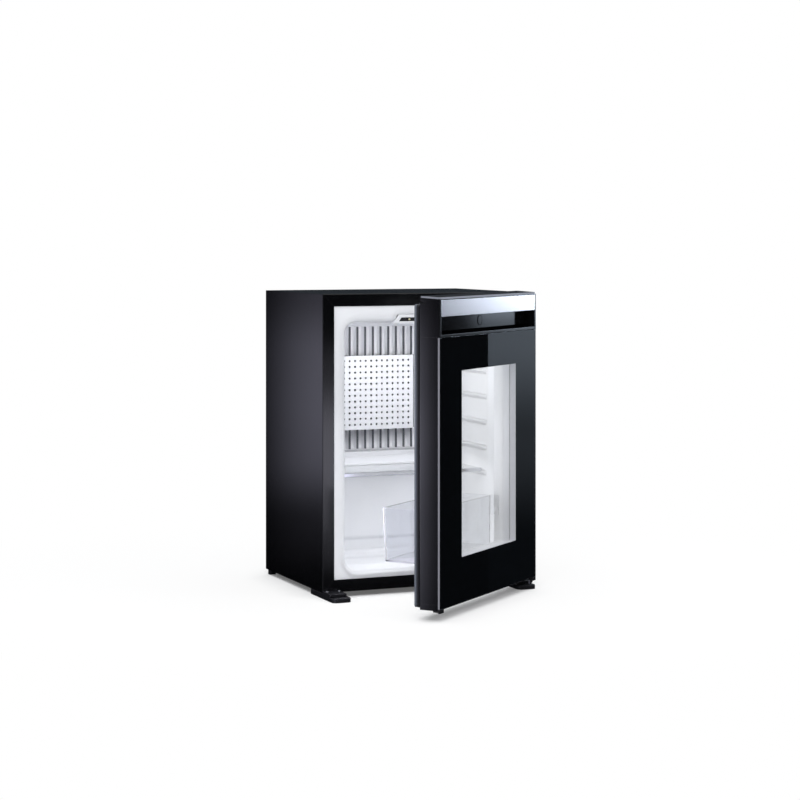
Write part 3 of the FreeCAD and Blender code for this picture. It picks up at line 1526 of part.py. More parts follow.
def evaporator_tube_shape(radius):
    """Tube that runs behind the evaporator and leaves through the back at both ends."""
    high = BASE + PLUG_BLOCK_LOW + PLUG_BLOCK_HEIGHT - EVAPORATOR_TUBE_TOP_INSET
    low = BASE + PLUG_BLOCK_LOW + EVAPORATOR_TUBE_LOW_INSET
    face = CAVITY_BACK + TUBE_RADIUS + FIT_GAP
    x = EVAPORATOR_TUBE_PLACE
    points = [
        Vector(x, UNIT_Y, high),
        Vector(x, face, high),
        Vector(x, face, low),
        Vector(x, UNIT_Y, low),
    ]
    return pipe(points, radius, TUBE_BEND)


def evaporator_tube():
    """Evaporator tube."""
    return evaporator_tube_shape(TUBE_RADIUS)


def boiler_casing():
    """Sheet casing around the boiler and its insulation."""
    left = BOILER_PLACE - BOILER_WIDTH / 2
    right = BOILER_PLACE + BOILER_WIDTH / 2
    low = BASE + BOILER_LOW
    high = low + BOILER_HEIGHT
    casing = plate_xy(left, right, BACK, BACK + BOILER_DEPTH, BOILER_ROUND, low, high)
    rims = [e for e in casing.Edges if near(e.BoundBox.ZMin, high)]
    return casing.makeFillet(BEND_RADIUS, rims)


def heating_element():
    """Heating cartridge that enters the side of the boiler casing, turned about its own axis."""
    start = BOILER_PLACE + BOILER_WIDTH / 2
    end = start + HEATER_LENGTH
    profile = [
        (start, 0, 0),
        (end, 0, 0),
        (end, HEATER_RADIUS, HEATER_RADIUS / 4),
        (start + HEATER_COLLAR, HEATER_RADIUS, 0),
        (start + HEATER_COLLAR, HEATER_COLLAR_RADIUS, 0),
        (start, HEATER_COLLAR_RADIUS, 0),
    ]
    y = BACK + BOILER_DEPTH / 2
    z = BASE + BOILER_LOW + HEATER_RISE
    face = Part.Face(outline(profile, lambda u, v: Vector(u, y, z + v)))
    return face.revolve(Vector(0, y, z), RIGHTWARD, FULL_TURN)


def vessel_axis():
    """Middle of the absorber vessel."""
    return Vector(VESSEL_PLACE, UNIT_Y, BASE + VESSEL_HEIGHT)


def absorber_vessel():
    """Round vessel with domed ends, turned about its long axis."""
    middle = vessel_axis()
    left = middle.x - VESSEL_LENGTH / 2
    right = middle.x + VESSEL_LENGTH / 2
    profile = [
        (left, 0, 0),
        (right, 0, 0),
        (right, VESSEL_RADIUS, VESSEL_DOME),
        (left, VESSEL_RADIUS, VESSEL_DOME),
    ]
    face = Part.Face(outline(profile, lambda u, v: Vector(u, middle.y, middle.z + v)))
    return face.revolve(middle, RIGHTWARD, FULL_TURN)


def absorber_coil():
    """Serpentine from the vessel up to the evaporator's return."""
    points = [Vector(COIL_RIGHT, UNIT_Y, BASE + VESSEL_HEIGHT)]
    for index in range(COIL_PASSES):
        z = BASE + COIL_FIRST + index * COIL_RISE
        ends = (COIL_RIGHT, COIL_LEFT) if index % 2 == 0 else (COIL_LEFT, COIL_RIGHT)
        points.extend(Vector(x, UNIT_Y, z) for x in ends)
    high = BASE + PLUG_BLOCK_LOW + EVAPORATOR_TUBE_LOW_INSET
    points[-1] = Vector(EVAPORATOR_TUBE_PLACE, UNIT_Y, points[-1].z)
    points.append(Vector(EVAPORATOR_TUBE_PLACE, UNIT_Y, high))
    coil = pipe(points, TUBE_RADIUS, COIL_BEND)
    return coil.cut(absorber_vessel()).cut(evaporator_tube())


def heat_exchanger_tube():
    """Tube from the vessel's end to the boiler casing."""
    middle = vessel_axis()
    start = Vector(middle.x - VESSEL_LENGTH / 2, middle.y, middle.z)
    rise = BASE + BOILER_LOW
    points = [start, Vector(BOILER_PLACE, middle.y, middle.z), Vector(BOILER_PLACE, middle.y, rise)]
    return pipe(points, TUBE_RADIUS, EXCHANGER_BEND)


def condenser_points():
    """Path of the condenser: up from the boiler, across the back and down to the evaporator."""
    boiler_top = BASE + BOILER_LOW + BOILER_HEIGHT
    high = BASE + CONDENSER_HEIGHT
    evaporator_in = BASE + PLUG_BLOCK_LOW + PLUG_BLOCK_HEIGHT - EVAPORATOR_TUBE_TOP_INSET
    return [
        Vector(BOILER_PLACE, UNIT_Y, boiler_top),
        Vector(BOILER_PLACE, UNIT_Y, high),
        Vector(CONDENSER_END, UNIT_Y, high - CONDENSER_FALL),
        Vector(CONDENSER_END, UNIT_Y, evaporator_in),
        Vector(EVAPORATOR_TUBE_PLACE, UNIT_Y, evaporator_in),
    ]


def condenser_tube():
    """Condenser tube."""
    return pipe(condenser_points(), TUBE_RADIUS, TUBE_BEND).cut(evaporator_tube())


def condenser_fins():
    """Row of thin fins on the sloping run of the condenser."""
    fins = []
    start = condenser_points()[1]
    end = condenser_points()[2]
    slope = (end.z - start.z) / (end.x - start.x)
    tube = pipe(condenser_points(), TUBE_RADIUS, TUBE_BEND)
    for index in range(CONDENSER_FIN_COUNT):
        x = CONDENSER_FIN_START + index * CONDENSER_FIN_PITCH
        z = start.z + slope * (x - start.x)
        wire = rounded(
            UNIT_Y - CONDENSER_FIN_WIDTH / 2,
            UNIT_Y + CONDENSER_FIN_WIDTH / 2,
            z - CONDENSER_FIN_HEIGHT / 2,
            z + CONDENSER_FIN_HEIGHT / 2,
            CONDENSER_FIN_CORNER,
            flat_yz(x),
        )
        fins.append(prism(wire, RIGHTWARD * CONDENSER_FIN_SHEET).cut(tube))
    return Part.makeCompound(fins)


def vessel_saddles():
    """Pair of brackets that hold the vessel off the back panel."""
    middle = vessel_axis()
    saddles = []
    low = middle.z - VESSEL_RADIUS + SADDLE_LOW_MARGIN
    for x in SADDLE_PLACES:
        web = box(x, x + SADDLE_SHEET, BACK, middle.y, low, low + SADDLE_HEIGHT)
        foot = box(x, x + SADDLE_FOOT, BACK, BACK + SADDLE_SHEET, low, low + SADDLE_HEIGHT)
        bracket = joined([web, foot])
        start = Vector(x - OVERRUN, middle.y, middle.z)
        notch = rod(VESSEL_RADIUS, start, RIGHTWARD, SADDLE_FOOT + OVERRUN + OVERRUN)
        saddles.append(bracket.cut(notch))
    return Part.makeCompound(saddles)


def electronics_box():
    """Drafted plastic box for the control electronics."""
    low = BASE + BOX_LOW
    left = BOX_PLACE - BOX_WIDTH / 2
    right = BOX_PLACE + BOX_WIDTH / 2
    high = low + BOX_HEIGHT
    base_wire = rounded(left, right, low, high, BOX_ROUND, flat_xz(BACK))
    top_wire = rounded(
        left + BOX_DRAFT,
        right - BOX_DRAFT,
        low + BOX_DRAFT,
        high - BOX_DRAFT,
        BOX_ROUND,
        flat_xz(BACK + BOX_DEPTH),
    )
    return Part.makeLoft([base_wire, top_wire], True, True)


def cable_gland():
    """Gland on the electronics box where a cord would enter, turned about its own axis."""
    start = BACK + BOX_DEPTH
    end = start + GLAND_LENGTH
    profile = [
        (start, GLAND_BORE, 0),
        (end, GLAND_BORE, 0),
        (end, GLAND_RADIUS, GLAND_RADIUS / 4),
        (start + GLAND_FLANGE, GLAND_RADIUS, 0),
        (start + GLAND_FLANGE, GLAND_FLANGE_RADIUS, 0),
        (start, GLAND_FLANGE_RADIUS, 0),
    ]
    x = BOX_PLACE
    z = BASE + BOX_LOW + GLAND_RISE
    face = Part.Face(outline(profile, lambda u, v: Vector(x, u, z + v)))
    return face.revolve(Vector(x, 0, z), BACKWARD, FULL_TURN)


FIXED_PIECES = {
    "left_side_panel": lambda: mirrored(side_panel()),
    "right_side_panel": side_panel,
    "top_panel": lambda: level_panel(TOP, -1),
    "base_panel": lambda: level_panel(BASE, 1),
    "rear_panel": rear_panel,
    "inner_liner": inner_liner,
    "insulation_foam": insulation_foam,
    "evaporator_fins": evaporator_fins,
    "evaporator_guard": evaporator_guard,
    "drip_gutter": drip_gutter,
    "drain_tube": drain_tube,
    "light_housing": light_housing,
    "light_diffuser": light_diffuser,
    "control_strip": control_strip,
    "indicator_led": indicator_led,
    "temperature_button": temperature_button,
    "shelf_plate": shelf_plate,
    "shelf_front_trim": shelf_front_trim,
    "shelf_rear_stop": shelf_rear_stop,
    "left_hinge_foot": left_hinge_foot,
    "right_hinge_foot": right_hinge_foot,
    "lower_hinge_pin": lower_hinge_pin,
    "rear_feet": rear_feet,
    "upper_hinge_bracket": upper_hinge_bracket,
    "upper_hinge_pin": upper_hinge_pin,
    "insulation_plug": insulation_plug,
    "unit_mounting_plate": unit_mounting_plate,
    "evaporator_tube": evaporator_tube,
    "boiler_casing": boiler_casing,
    "heating_element": heating_element,
    "absorber_vessel": absorber_vessel,
    "absorber_coil": absorber_coil,
    "heat_exchanger_tube": heat_exchanger_tube,
    "condenser_tube": condenser_tube,
    "condenser_fins": condenser_fins,
    "vessel_saddles": vessel_saddles,
    "electronics_box": electronics_box,
    "cable_gland": cable_gland,
}

DOOR_PIECES = {
    "front_glass": front_glass,
    "glazing_spacer": glazing_spacer,
    "inner_glass": inner_glass,
    "door_frame": door_frame,
    "door_bottom_cap": door_bottom_cap,
    "handle_housing": handle_housing,
    "handle_strip": handle_strip,
    "door_top_cap": door_top_cap,
    "recess_panel": recess_panel,
    "lock_plug": lock_plug,
    "door_gasket": door_gasket,
    "inner_door_panel": inner_door_panel,
    "lower_hinge_bushes": lower_hinge_bushes,
    "upper_hinge_bushes": upper_hinge_bushes,
    "door_rack": door_rack,
}


def main():
    """Write one file for each piece; the door's pieces are turned open first."""
    os.makedirs("parts", exist_ok=True)
    for name, make in FIXED_PIECES.items():
        make().exportStep("parts/" + name + ".step")
    for name, make in DOOR_PIECES.items():
        piece = make()
        piece.rotate(Vector(AXIS_X, AXIS_Y, 0), UP, OPEN_ANGLE)
        piece.exportStep("parts/" + name + ".step")


main()
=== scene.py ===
import logging
import math
from dataclasses import dataclass, field, replace
from enum import Enum

import bmesh
import bpy
import numpy as np
from mathutils import Euler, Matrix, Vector


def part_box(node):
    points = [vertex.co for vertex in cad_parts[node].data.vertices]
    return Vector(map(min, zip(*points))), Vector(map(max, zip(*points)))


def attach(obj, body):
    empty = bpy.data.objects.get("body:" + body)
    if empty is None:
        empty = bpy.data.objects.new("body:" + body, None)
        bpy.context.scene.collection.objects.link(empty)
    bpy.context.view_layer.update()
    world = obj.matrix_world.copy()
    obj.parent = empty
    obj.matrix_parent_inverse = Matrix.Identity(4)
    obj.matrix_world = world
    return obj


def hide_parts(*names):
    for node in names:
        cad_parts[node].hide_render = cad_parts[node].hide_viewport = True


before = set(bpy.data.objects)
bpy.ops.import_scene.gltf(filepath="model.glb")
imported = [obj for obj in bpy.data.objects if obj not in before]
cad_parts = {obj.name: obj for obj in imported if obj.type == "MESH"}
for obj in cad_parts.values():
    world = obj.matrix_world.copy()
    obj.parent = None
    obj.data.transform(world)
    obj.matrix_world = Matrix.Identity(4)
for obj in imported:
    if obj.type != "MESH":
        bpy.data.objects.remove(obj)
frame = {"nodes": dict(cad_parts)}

LOG = logging.getLogger("minibar")
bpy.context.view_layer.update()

MM = 0.001
FULL_TURN = 2 * math.pi
QUARTER_TURN = math.pi / 2

CARD_HIDDEN = ("camera", "diffuse", "shadow", "transmission", "volume_scatter")
FLOOR_HIDDEN = ("glossy",)
LAMP_HIDDEN = ("camera", "glossy", "transmission")

Pair = tuple[float, float]
Triple = tuple[float, float, float]
Stops = tuple[Pair, ...]
Material = bpy.types.Material
Socket = bpy.types.NodeSocket


@dataclass(frozen=True)
class Texture:
    """Numbers of a fine structure.

    Attributes:
        scale: Features in a metre.
        colour_spread: Share by which the colour varies.
        roughness_spread: How far the roughness varies.
    """

    scale: float
    colour_spread: float
    roughness_spread: float


class Grain(Enum):
    """Fine structure of a finish."""

    SATIN_PAINT = Texture(900.0, 0.10, 0.05)
    MOULDED = Texture(1400.0, 0.08, 0.08)
    POLISHED = Texture(60.0, 0.02, 0.015)
    BRUSHED = Texture(2400.0, 0.02, 0.025)
    CAST = Texture(500.0, 0.14, 0.10)
    SPANGLE = Texture(160.0, 0.16, 0.16)
    FOAM = Texture(700.0, 0.16, 0.08)
    RUBBER = Texture(600.0, 0.10, 0.08)


class Way(Enum):
    """Direction that a finish's streaks run in, as the pattern's scale along each axis."""

    LEVEL = (1.0, 1.0, 40.0)
    UPRIGHT = (40.0, 40.0, 1.0)
    NONE = (1.0, 1.0, 1.0)


@dataclass(frozen=True)
class Finish:
    """One finish: its colour, how it reflects and its fine structure.

    Attributes:
        name: Name of the finish.
        colour: Linear colour of the surface.
        roughness: Middle roughness.
        grain: Fine structure.
        way: Direction of streaks.
        metallic: Share of metal.
        specular: Strength of the dielectric reflection.
        transmission: Share of light let through.
        ior: Refractive index.
        glow: Strength of the light that the surface gives.
        edge: How much lighter the edges are painted, as a painted highlight.
        edge_radius: Radius of softened edges, in metres; 0 leaves them sharp.
        deep_edge_radius: Radius behind the depth, where it differs.
        bump: Depth of the fine structure, in metres.
        top_colour: Colour of the faces that look up, where it differs.
        deep_colour: Colour behind the depth, where it differs.
        depth: Place along Y where the colour or the radius changes, in metres.
        shade: Heights between which the surface behind a cover keeps the front colour as painted shade, in
            metres.
        casts_shadow: False lets lamps shine through, as through clear glass.
    """

    name: str
    colour: Triple
    roughness: float
    grain: Grain
    way: Way = Way.NONE
    metallic: float = 0.0
    specular: float = 0.5
    transmission: float = 0.0
    ior: float = 1.5
    glow: float = 0.0
    edge: float = 0.0
    edge_radius: float = 0.0
    deep_edge_radius: float | None = None
    bump: float = 0.00002
    top_colour: Triple | None = None
    deep_colour: Triple | None = None
    depth: float = 0.0
    shade: Pair | None = None
    casts_shadow: bool = True

    @property
    def label(self) -> str:
        """Name of the material, kept apart from those of the frame's own materials."""
        return f"finish_{self.name}"

    def material(self) -> Material:
        """Build the node material of this finish once and return it.

        Returns:
            The material, shared by every piece with this finish.
        """
        made = bpy.data.materials.get(self.label)
        if made is None:
            made = FinishBuilder(self).build()
        return made


class NodeTree:
    """Short words for adding and joining the nodes of one tree."""

    SEEN_RAYS = ("Is Transmission Ray", "Is Glossy Ray")

    def __init__(self, owner: Material | bpy.types.World, empty: bool = False) -> None:
        """Open the owner's tree.

        Args:
            owner: Material or world that has the tree.
            empty: Remove the nodes that it starts with.
        """
        owner.use_nodes = True
        self.tree = owner.node_tree
        if empty:
            self.tree.nodes.clear()

    def fill(self, node: bpy.types.Node, inputs: dict) -> None:
        """Join sockets to a node's inputs, or set their values.

        Args:
            node: Node whose inputs are filled.
            inputs: Sockets or values by the input's name or number.
        """
        for key, value in inputs.items():
            if isinstance(value, Socket):
                self.tree.links.new(value, node.inputs[key])
            else:
                node.inputs[key].default_value = value

    def node(self, kind: str, inputs: dict | None = None, **settings: object) -> bpy.types.Node:
        """Add a node, set it up and fill its inputs.

        Args:
            kind: Blender's name of the node type, without its first words.
            inputs: Sockets or values by the input's name or number.
            **settings: Properties of the node.

        Returns:
            The new node.
        """
        made = self.tree.nodes.new(f"ShaderNode{kind}")
        for key, value in settings.items():
            setattr(made, key, value)
        self.fill(made, inputs or {})
        return made

    def out(self, kind: str, name: str, inputs: dict | None = None, **settings: object) -> Socket:
        """Add a node in the same way and return its output of the given name."""
        return self.node(kind, inputs, **settings).outputs[name]

    def place(self) -> Socket:
        """Place of the shaded point in the object's own coordinates."""
        return self.out("TexCoord", "Object")

    def part(self, vector: Socket, axis: str) -> Socket:
        """Coordinate of a vector along an axis."""
        return self.out("SeparateXYZ", axis, {"Vector": vector})

    def math(self, operation: str, *inputs: Socket | float) -> Socket:
        """Result of an operation on numbers, given as sockets or values."""
        return self.out("Math", "Value", dict(enumerate(inputs)), operation=operation)

    def dot(self, first: Socket, second: Socket | Triple) -> Socket:
        """Scalar product of two vectors."""
        return self.out("VectorMath", "Value", {0: first, 1: second}, operation="DOT_PRODUCT")

    def ranged(self, value: Socket, source: Pair = (0.0, 1.0), target: tuple = (0.0, 1.0),
               **settings: object) -> Socket:
        """Map a value from one range to another.

        Args:
            value: Socket with the value.
            source: Range that the value is in.
            target: Range of the result, as values or sockets.
            **settings: Properties of the node.

        Returns:
            Socket with the mapped value.
        """
        inputs = {"Value": value, "From Min": source[0], "From Max": source[1],
                  "To Min": target[0], "To Max": target[1]}
        return self.out("MapRange", "Result", inputs, **settings)

    def mix(self, mask: Socket | float, first: Socket, second: Socket | tuple,
            blend: str = "MIX") -> Socket:
        """Mix two colours.

        Args:
            mask: Share of the second colour.
            first: First colour.
            second: Second colour, as a socket or with its alpha.
            blend: Blender's name of the way to mix.

        Returns:
            Socket with the mixed colour.
        """
        inputs = {"Factor": mask, "A": first, "B": second}
        return self.out("Mix", "Result", inputs, data_type="RGBA", blend_type=blend)

    def seen_directly(self) -> Socket:
        """Mask that is 1 for rays that show the background: those of the camera, of glass and of gloss."""
        path = self.node("LightPath").outputs
        mask = path["Is Camera Ray"]
        for kind in self.SEEN_RAYS:
            mask = self.math("MAXIMUM", mask, path[kind])
        return mask


class FinishBuilder(NodeTree):
    """Turns a finish into a node material that reads Object coordinates."""

    FINE_DETAIL = 3.0
    FINE_ROUGHNESS = 0.6
    CLOUD_SCALE = 9.0
    CLOUD_DETAIL = 2.0
    BEVEL_SAMPLES = 4
    EDGE_RANGE = (0.96, 0.78)
    LEVEL_RANGE = (0.80, 0.95)
    DEPTH_SOFTNESS = 0.001
    STEP_MIDDLE = 0.5
    BUMP_STRENGTH = 0.6

    def __init__(self, finish: Finish) -> None:
        """Keep the finish and make its plain material.

        Args:
            finish: Finish to build.
        """
        self.finish = finish
        self.made = bpy.data.materials.new(finish.label)
        super().__init__(self.made)
        self.shader = self.tree.nodes["Principled BSDF"]

    def patterns(self) -> tuple[Socket, Socket]:
        """Make the fine pattern and a slow cloud.

        Returns:
            Sockets of the fine pattern and of the cloud, both from 0 to 1.
        """
        grain = self.finish.grain
        stretch = self.finish.way.value
        place = self.place()
        stretched = self.out("Mapping", "Vector", {"Vector": place, "Scale": stretch})
        inputs = {"Vector": stretched, "Scale": grain.value.scale}
        if grain is Grain.SPANGLE:
            cells = self.out("TexVoronoi", "Color", inputs, feature="F1")
            fine = self.out("RGBToBW", "Val", {"Color": cells})
        elif grain is Grain.FOAM:
            fine = self.out("TexVoronoi", "Distance", inputs, feature="SMOOTH_F1")
        else:
            inputs["Scale"] /= max(stretch)
            inputs |= {"Detail": self.FINE_DETAIL, "Roughness": self.FINE_ROUGHNESS}
            fine = self.out("TexNoise", "Fac", inputs)
        inputs = {"Vector": place, "Scale": self.CLOUD_SCALE, "Detail": self.CLOUD_DETAIL}
        return fine, self.out("TexNoise", "Fac", inputs)

    def step(self, axis: str, edge: float) -> Socket:
        """Soft step from 0 to 1 along an axis, which reaches 1 at the edge."""
        return self.ranged(self.part(self.place(), axis), (edge - self.DEPTH_SOFTNESS, edge))

    def soft_edges(self) -> tuple[Socket, Socket]:
        """Round the edges in the shading.

        Returns:
            Sockets of the rounded normal and of a mask that is 1 on the edges.
        """
        finish = self.finish
        radius = finish.edge_radius
        if finish.deep_edge_radius is not None:
            radius = self.ranged(self.step("Y", finish.depth), target=(radius, finish.deep_edge_radius))
        rounded = self.out("Bevel", "Normal", {"Radius": radius}, samples=self.BEVEL_SAMPLES)
        likeness = self.dot(rounded, self.out("NewGeometry", "True Normal"))
        return rounded, self.ranged(likeness, self.EDGE_RANGE)

    def deep_mask(self) -> Socket:
        """Mask that is 1 on what lies behind the depth and not behind a cover; behind the cover the front
        colour stays as painted shade.
        """
        mask = self.step("Y", self.finish.depth)
        if self.finish.shade is not None:
            low, high = (self.step("Z", edge) for edge in self.finish.shade)
            mask = self.math("MULTIPLY", mask, self.math("COMPARE", low, high, self.STEP_MIDDLE))
        return mask

    def build(self) -> Material:
        """Wire the patterns into the shader.

        Returns:
            The finished material.
        """
        finish = self.finish
        fine, cloud = self.patterns()
        share = finish.grain.value.colour_spread
        strength = self.math("ADD", self.ranged(fine, target=(-share, share)),
                             self.ranged(cloud, target=(1.0 - share, 1.0 + share)))
        colour = self.out("VectorMath", "Vector", {0: finish.colour, "Scale": strength}, operation="SCALE")
        normal = None
        if finish.edge_radius > 0:
            normal, edges = self.soft_edges()
            # Painted highlight: the rounded edges are painted lighter by the finish's edge share.
            if finish.edge > 0:
                colour = self.mix(edges, colour, (finish.edge, finish.edge, finish.edge, 1.0), "ADD")
        if finish.top_colour is not None:
            upward = self.part(self.out("NewGeometry", "True Normal"), "Z")
            colour = self.mix(self.ranged(upward, self.LEVEL_RANGE), colour, (*finish.top_colour, 1.0))
        if finish.deep_colour is not None:
            # Deep colour behind the depth; where a cover stands, the front colour stays as painted shade.
            colour = self.mix(self.deep_mask(), colour, (*finish.deep_colour, 1.0))
        if finish.bump > 0:
            inputs = {"Strength": self.BUMP_STRENGTH, "Distance": finish.bump, "Height": fine}
            if normal is not None:
                inputs["Normal"] = normal
            normal = self.out("Bump", "Normal", inputs)
        if normal is not None:
            self.fill(self.shader, {"Normal": normal})
        spread = finish.grain.value.roughness_spread
        rough = (max(0.0, finish.roughness - spread), finish.roughness + spread)
        self.fill(self.shader, {
            "Base Color": colour,
            "Roughness": self.ranged(fine, target=rough),
            "Metallic": finish.metallic,
            "Specular IOR Level": finish.specular,
            "Transmission Weight": finish.transmission,
            "IOR": finish.ior,
        })
        if finish.glow > 0:
            glow = {"Emission Color": (*finish.colour, 1.0), "Emission Strength": finish.glow}
            self.fill(self.shader, glow)
        return self.made


class Finishes:
    """Every finish of the fridge."""

    CASING = Finish("casing_satin_black", (0.0020, 0.0021, 0.0027), 0.24, Grain.SATIN_PAINT,
                    Way.UPRIGHT, edge=0.004, edge_radius=0.0006)
    ZINC = Finish("zinc_sheet", (0.50, 0.52, 0.54), 0.40, Grain.SPANGLE, metallic=0.45)
    LINER = Finish("liner_white", (0.84, 0.85, 0.88), 0.34, Grain.MOULDED, edge_radius=0.0008)
    MOUTH = replace(LINER, name="liner_soft_white", edge_radius=0.016, deep_edge_radius=0.005, depth=-0.135)
    LAMP_WHITE = Finish("lamp_white", (0.83, 0.84, 0.87), 0.32, Grain.MOULDED, edge_radius=0.0006)
    FOAM = Finish("cut_foam", (0.62, 0.55, 0.36), 0.85, Grain.FOAM, bump=0.0004)
    # Fins: the front faces are painted dark as painted shade on the fins' sides, the plate behind the depth
    # gets the light colour, and behind the guard everything keeps the dark as painted shade.
    FIN = Finish("fin_aluminium_painted_shade", (0.060, 0.063, 0.078), 0.34, Grain.BRUSHED, Way.UPRIGHT,
                 deep_colour=(0.92, 0.93, 0.96), depth=0.1035, casts_shadow=False,
                 shade=tuple(corner[2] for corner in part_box("evaporator_guard")))
    GUARD = Finish("guard_white", (0.80, 0.81, 0.84), 0.40, Grain.SATIN_PAINT)
    GUTTER = Finish("gutter_white", (0.62, 0.63, 0.66), 0.38, Grain.MOULDED, edge_radius=0.002)
    DIFFUSER = Finish("milky_diffuser", (0.92, 0.94, 0.97), 0.30, Grain.POLISHED, glow=0.55)
    CONTROL = Finish("control_black", (0.004, 0.004, 0.005), 0.20, Grain.POLISHED)
    LED = Finish("indicator_amber", (0.50, 0.47, 0.30), 0.20, Grain.POLISHED, glow=0.15)
    BUTTON = Finish("button_white", (0.62, 0.64, 0.66), 0.30, Grain.MOULDED)
    FOOT = Finish("foot_black", (0.010, 0.010, 0.013), 0.36, Grain.MOULDED, edge=0.06, edge_radius=0.0008)
    PIN = Finish("pin_steel", (0.62, 0.63, 0.66), 0.26, Grain.CAST, metallic=1.0)
    UNIT = Finish("unit_black_steel", (0.018, 0.018, 0.020), 0.40, Grain.CAST, bump=0.00005, edge=0.02,
                  edge_radius=0.0006)
    BOX = Finish("box_grey", (0.05, 0.05, 0.055), 0.48, Grain.MOULDED, edge=0.03, edge_radius=0.0008)
    DOOR = Finish("door_satin_black", (0.0034, 0.0034, 0.0045), 0.16, Grain.MOULDED, edge=0.022,
                  edge_radius=0.0008)
    # The cap's grey is a painted highlight on its sides and front; the faces that look up keep a near-black
    # colour.
    CAP = Finish("cap_grey", (0.22, 0.23, 0.27), 0.50, Grain.MOULDED, specular=0.05, edge_radius=0.0004,
                 top_colour=(0.010, 0.011, 0.013))
    GLASS = Finish("clear_pane", (0.99, 0.995, 0.995), 0.0, Grain.POLISHED, transmission=1.0, bump=0,
                   casts_shadow=False)
    SHELF = replace(GLASS, name="shelf_glass", colour=(0.95, 0.975, 0.965))
    RACK = replace(GLASS, name="clear_rack", colour=(0.92, 0.93, 0.95), roughness=0.02, ior=1.45,
                   edge_radius=0.0012)
    PRINT = Finish("black_print", (0.0020, 0.0026, 0.0036), 0.50, Grain.POLISHED, specular=0.0, bump=0)
    GROUND_EDGE = Finish("ground_glass_edge", (0.20, 0.20, 0.23), 0.45, Grain.CAST, specular=0.4)
    SPACER = Finish("spacer_light", (0.72, 0.73, 0.78), 0.42, Grain.BRUSHED, Way.LEVEL)
    STRIP = Finish("brushed_strip", (0.94, 0.88, 0.88), 0.22, Grain.BRUSHED, Way.LEVEL, metallic=1.0,
                   edge_radius=0.0004, bump=0.000004)
    TRIM = Finish("chrome_trim", (0.52, 0.53, 0.57), 0.16, Grain.POLISHED, metallic=1.0)
    GASKET = Finish("gasket_grey", (0.125, 0.14, 0.17), 0.46, Grain.RUBBER, bump=0.00004)
    # Near-black on the gasket's folds next to the foot: painted shade in the crease.
    GASKET_FOLD_SHADE = replace(GASKET, name="gasket_fold_painted_shade", colour=(0.014, 0.015, 0.019), roughness=0.50)
    BUSH = Finish("bush_black", (0.006, 0.006, 0.007), 0.40, Grain.MOULDED, edge=0.02, edge_radius=0.0005)
    PANEL = Finish("recess_gloss", (0.0020, 0.0022, 0.0028), 0.08, Grain.POLISHED, specular=0.3)
    # Dull black of the lock's groove, and of the painted shadow laid in the handle recess.
    GROOVE_AND_SHADOW = Finish("dull_black", (0.0008, 0.0008, 0.0010), 0.60, Grain.POLISHED, specular=0.0, bump=0)
    SCREW = Finish("screw_zinc", (0.50, 0.51, 0.53), 0.30, Grain.CAST, metallic=1.0)
    SCREW_BLACK = Finish("screw_black", (0.03, 0.03, 0.034), 0.35, Grain.CAST, metallic=0.6)


@dataclass
class Patch:
    """Points and four-sided faces of one surface."""

    points: np.ndarray
    faces: np.ndarray

    @staticmethod
    def grid(points: np.ndarray, close_rows: bool, close_columns: bool) -> "Patch":
        """Turn a grid of points into faces between neighbours.

        Args:
            points: Array of rows x columns x 3.
            close_rows: Join the last row to the first.
            close_columns: Join the last column to the first.

        Returns:
            Patch whose faces follow the grid.
        """
        rows, columns = points.shape[:2]
        row = np.arange(rows if close_rows else rows - 1)
        column = np.arange(columns if close_columns else columns - 1)
        r0, c0 = np.meshgrid(row, column, indexing="ij")
        r1 = (r0 + 1) % rows
        c1 = (c0 + 1) % columns
        corners = [r0 * columns + c0, r0 * columns + c1, r1 * columns + c1, r1 * columns + c0]
        return Patch(points.reshape(-1, 3), np.stack(corners, axis=-1).reshape(-1, 4))

    @staticmethod
    def merged(patches: list["Patch"]) -> "Patch":
        """Join several patches into one."""
        starts = np.cumsum([0] + [len(patch.points) for patch in patches[:-1]])
        faces = [patch.faces + start for patch, start in zip(patches, starts)]
        return Patch(np.concatenate([patch.points for patch in patches]), np.concatenate(faces))


def turned(radius: np.ndarray, height: np.ndarray, centre: Vector, axis: Vector, sides: int) -> Patch:
    """Surface round the axis through the centre, with a ring of points for each radius.

    Args:
        radius: Radius of each ring.
        height: Heights along the axis, of rings x 1 or rings x sides.
        centre: Point on the axis at height 0.
        axis: Direction of height.
        sides: Points round the axis.

    Returns:
        Patch that closes round the axis.
    """
    along = np.array(axis.normalized())
    across = np.array(axis.orthogonal().normalized())
    third = np.cross(along, across)
    angle = np.arange(sides)[:, None] * (FULL_TURN / sides)
    ring = np.cos(angle) * across + np.sin(angle) * third
    points = radius[:, None, None] * ring + height[..., None] * along
    return Patch.grid(points + np.array(centre), False, True)


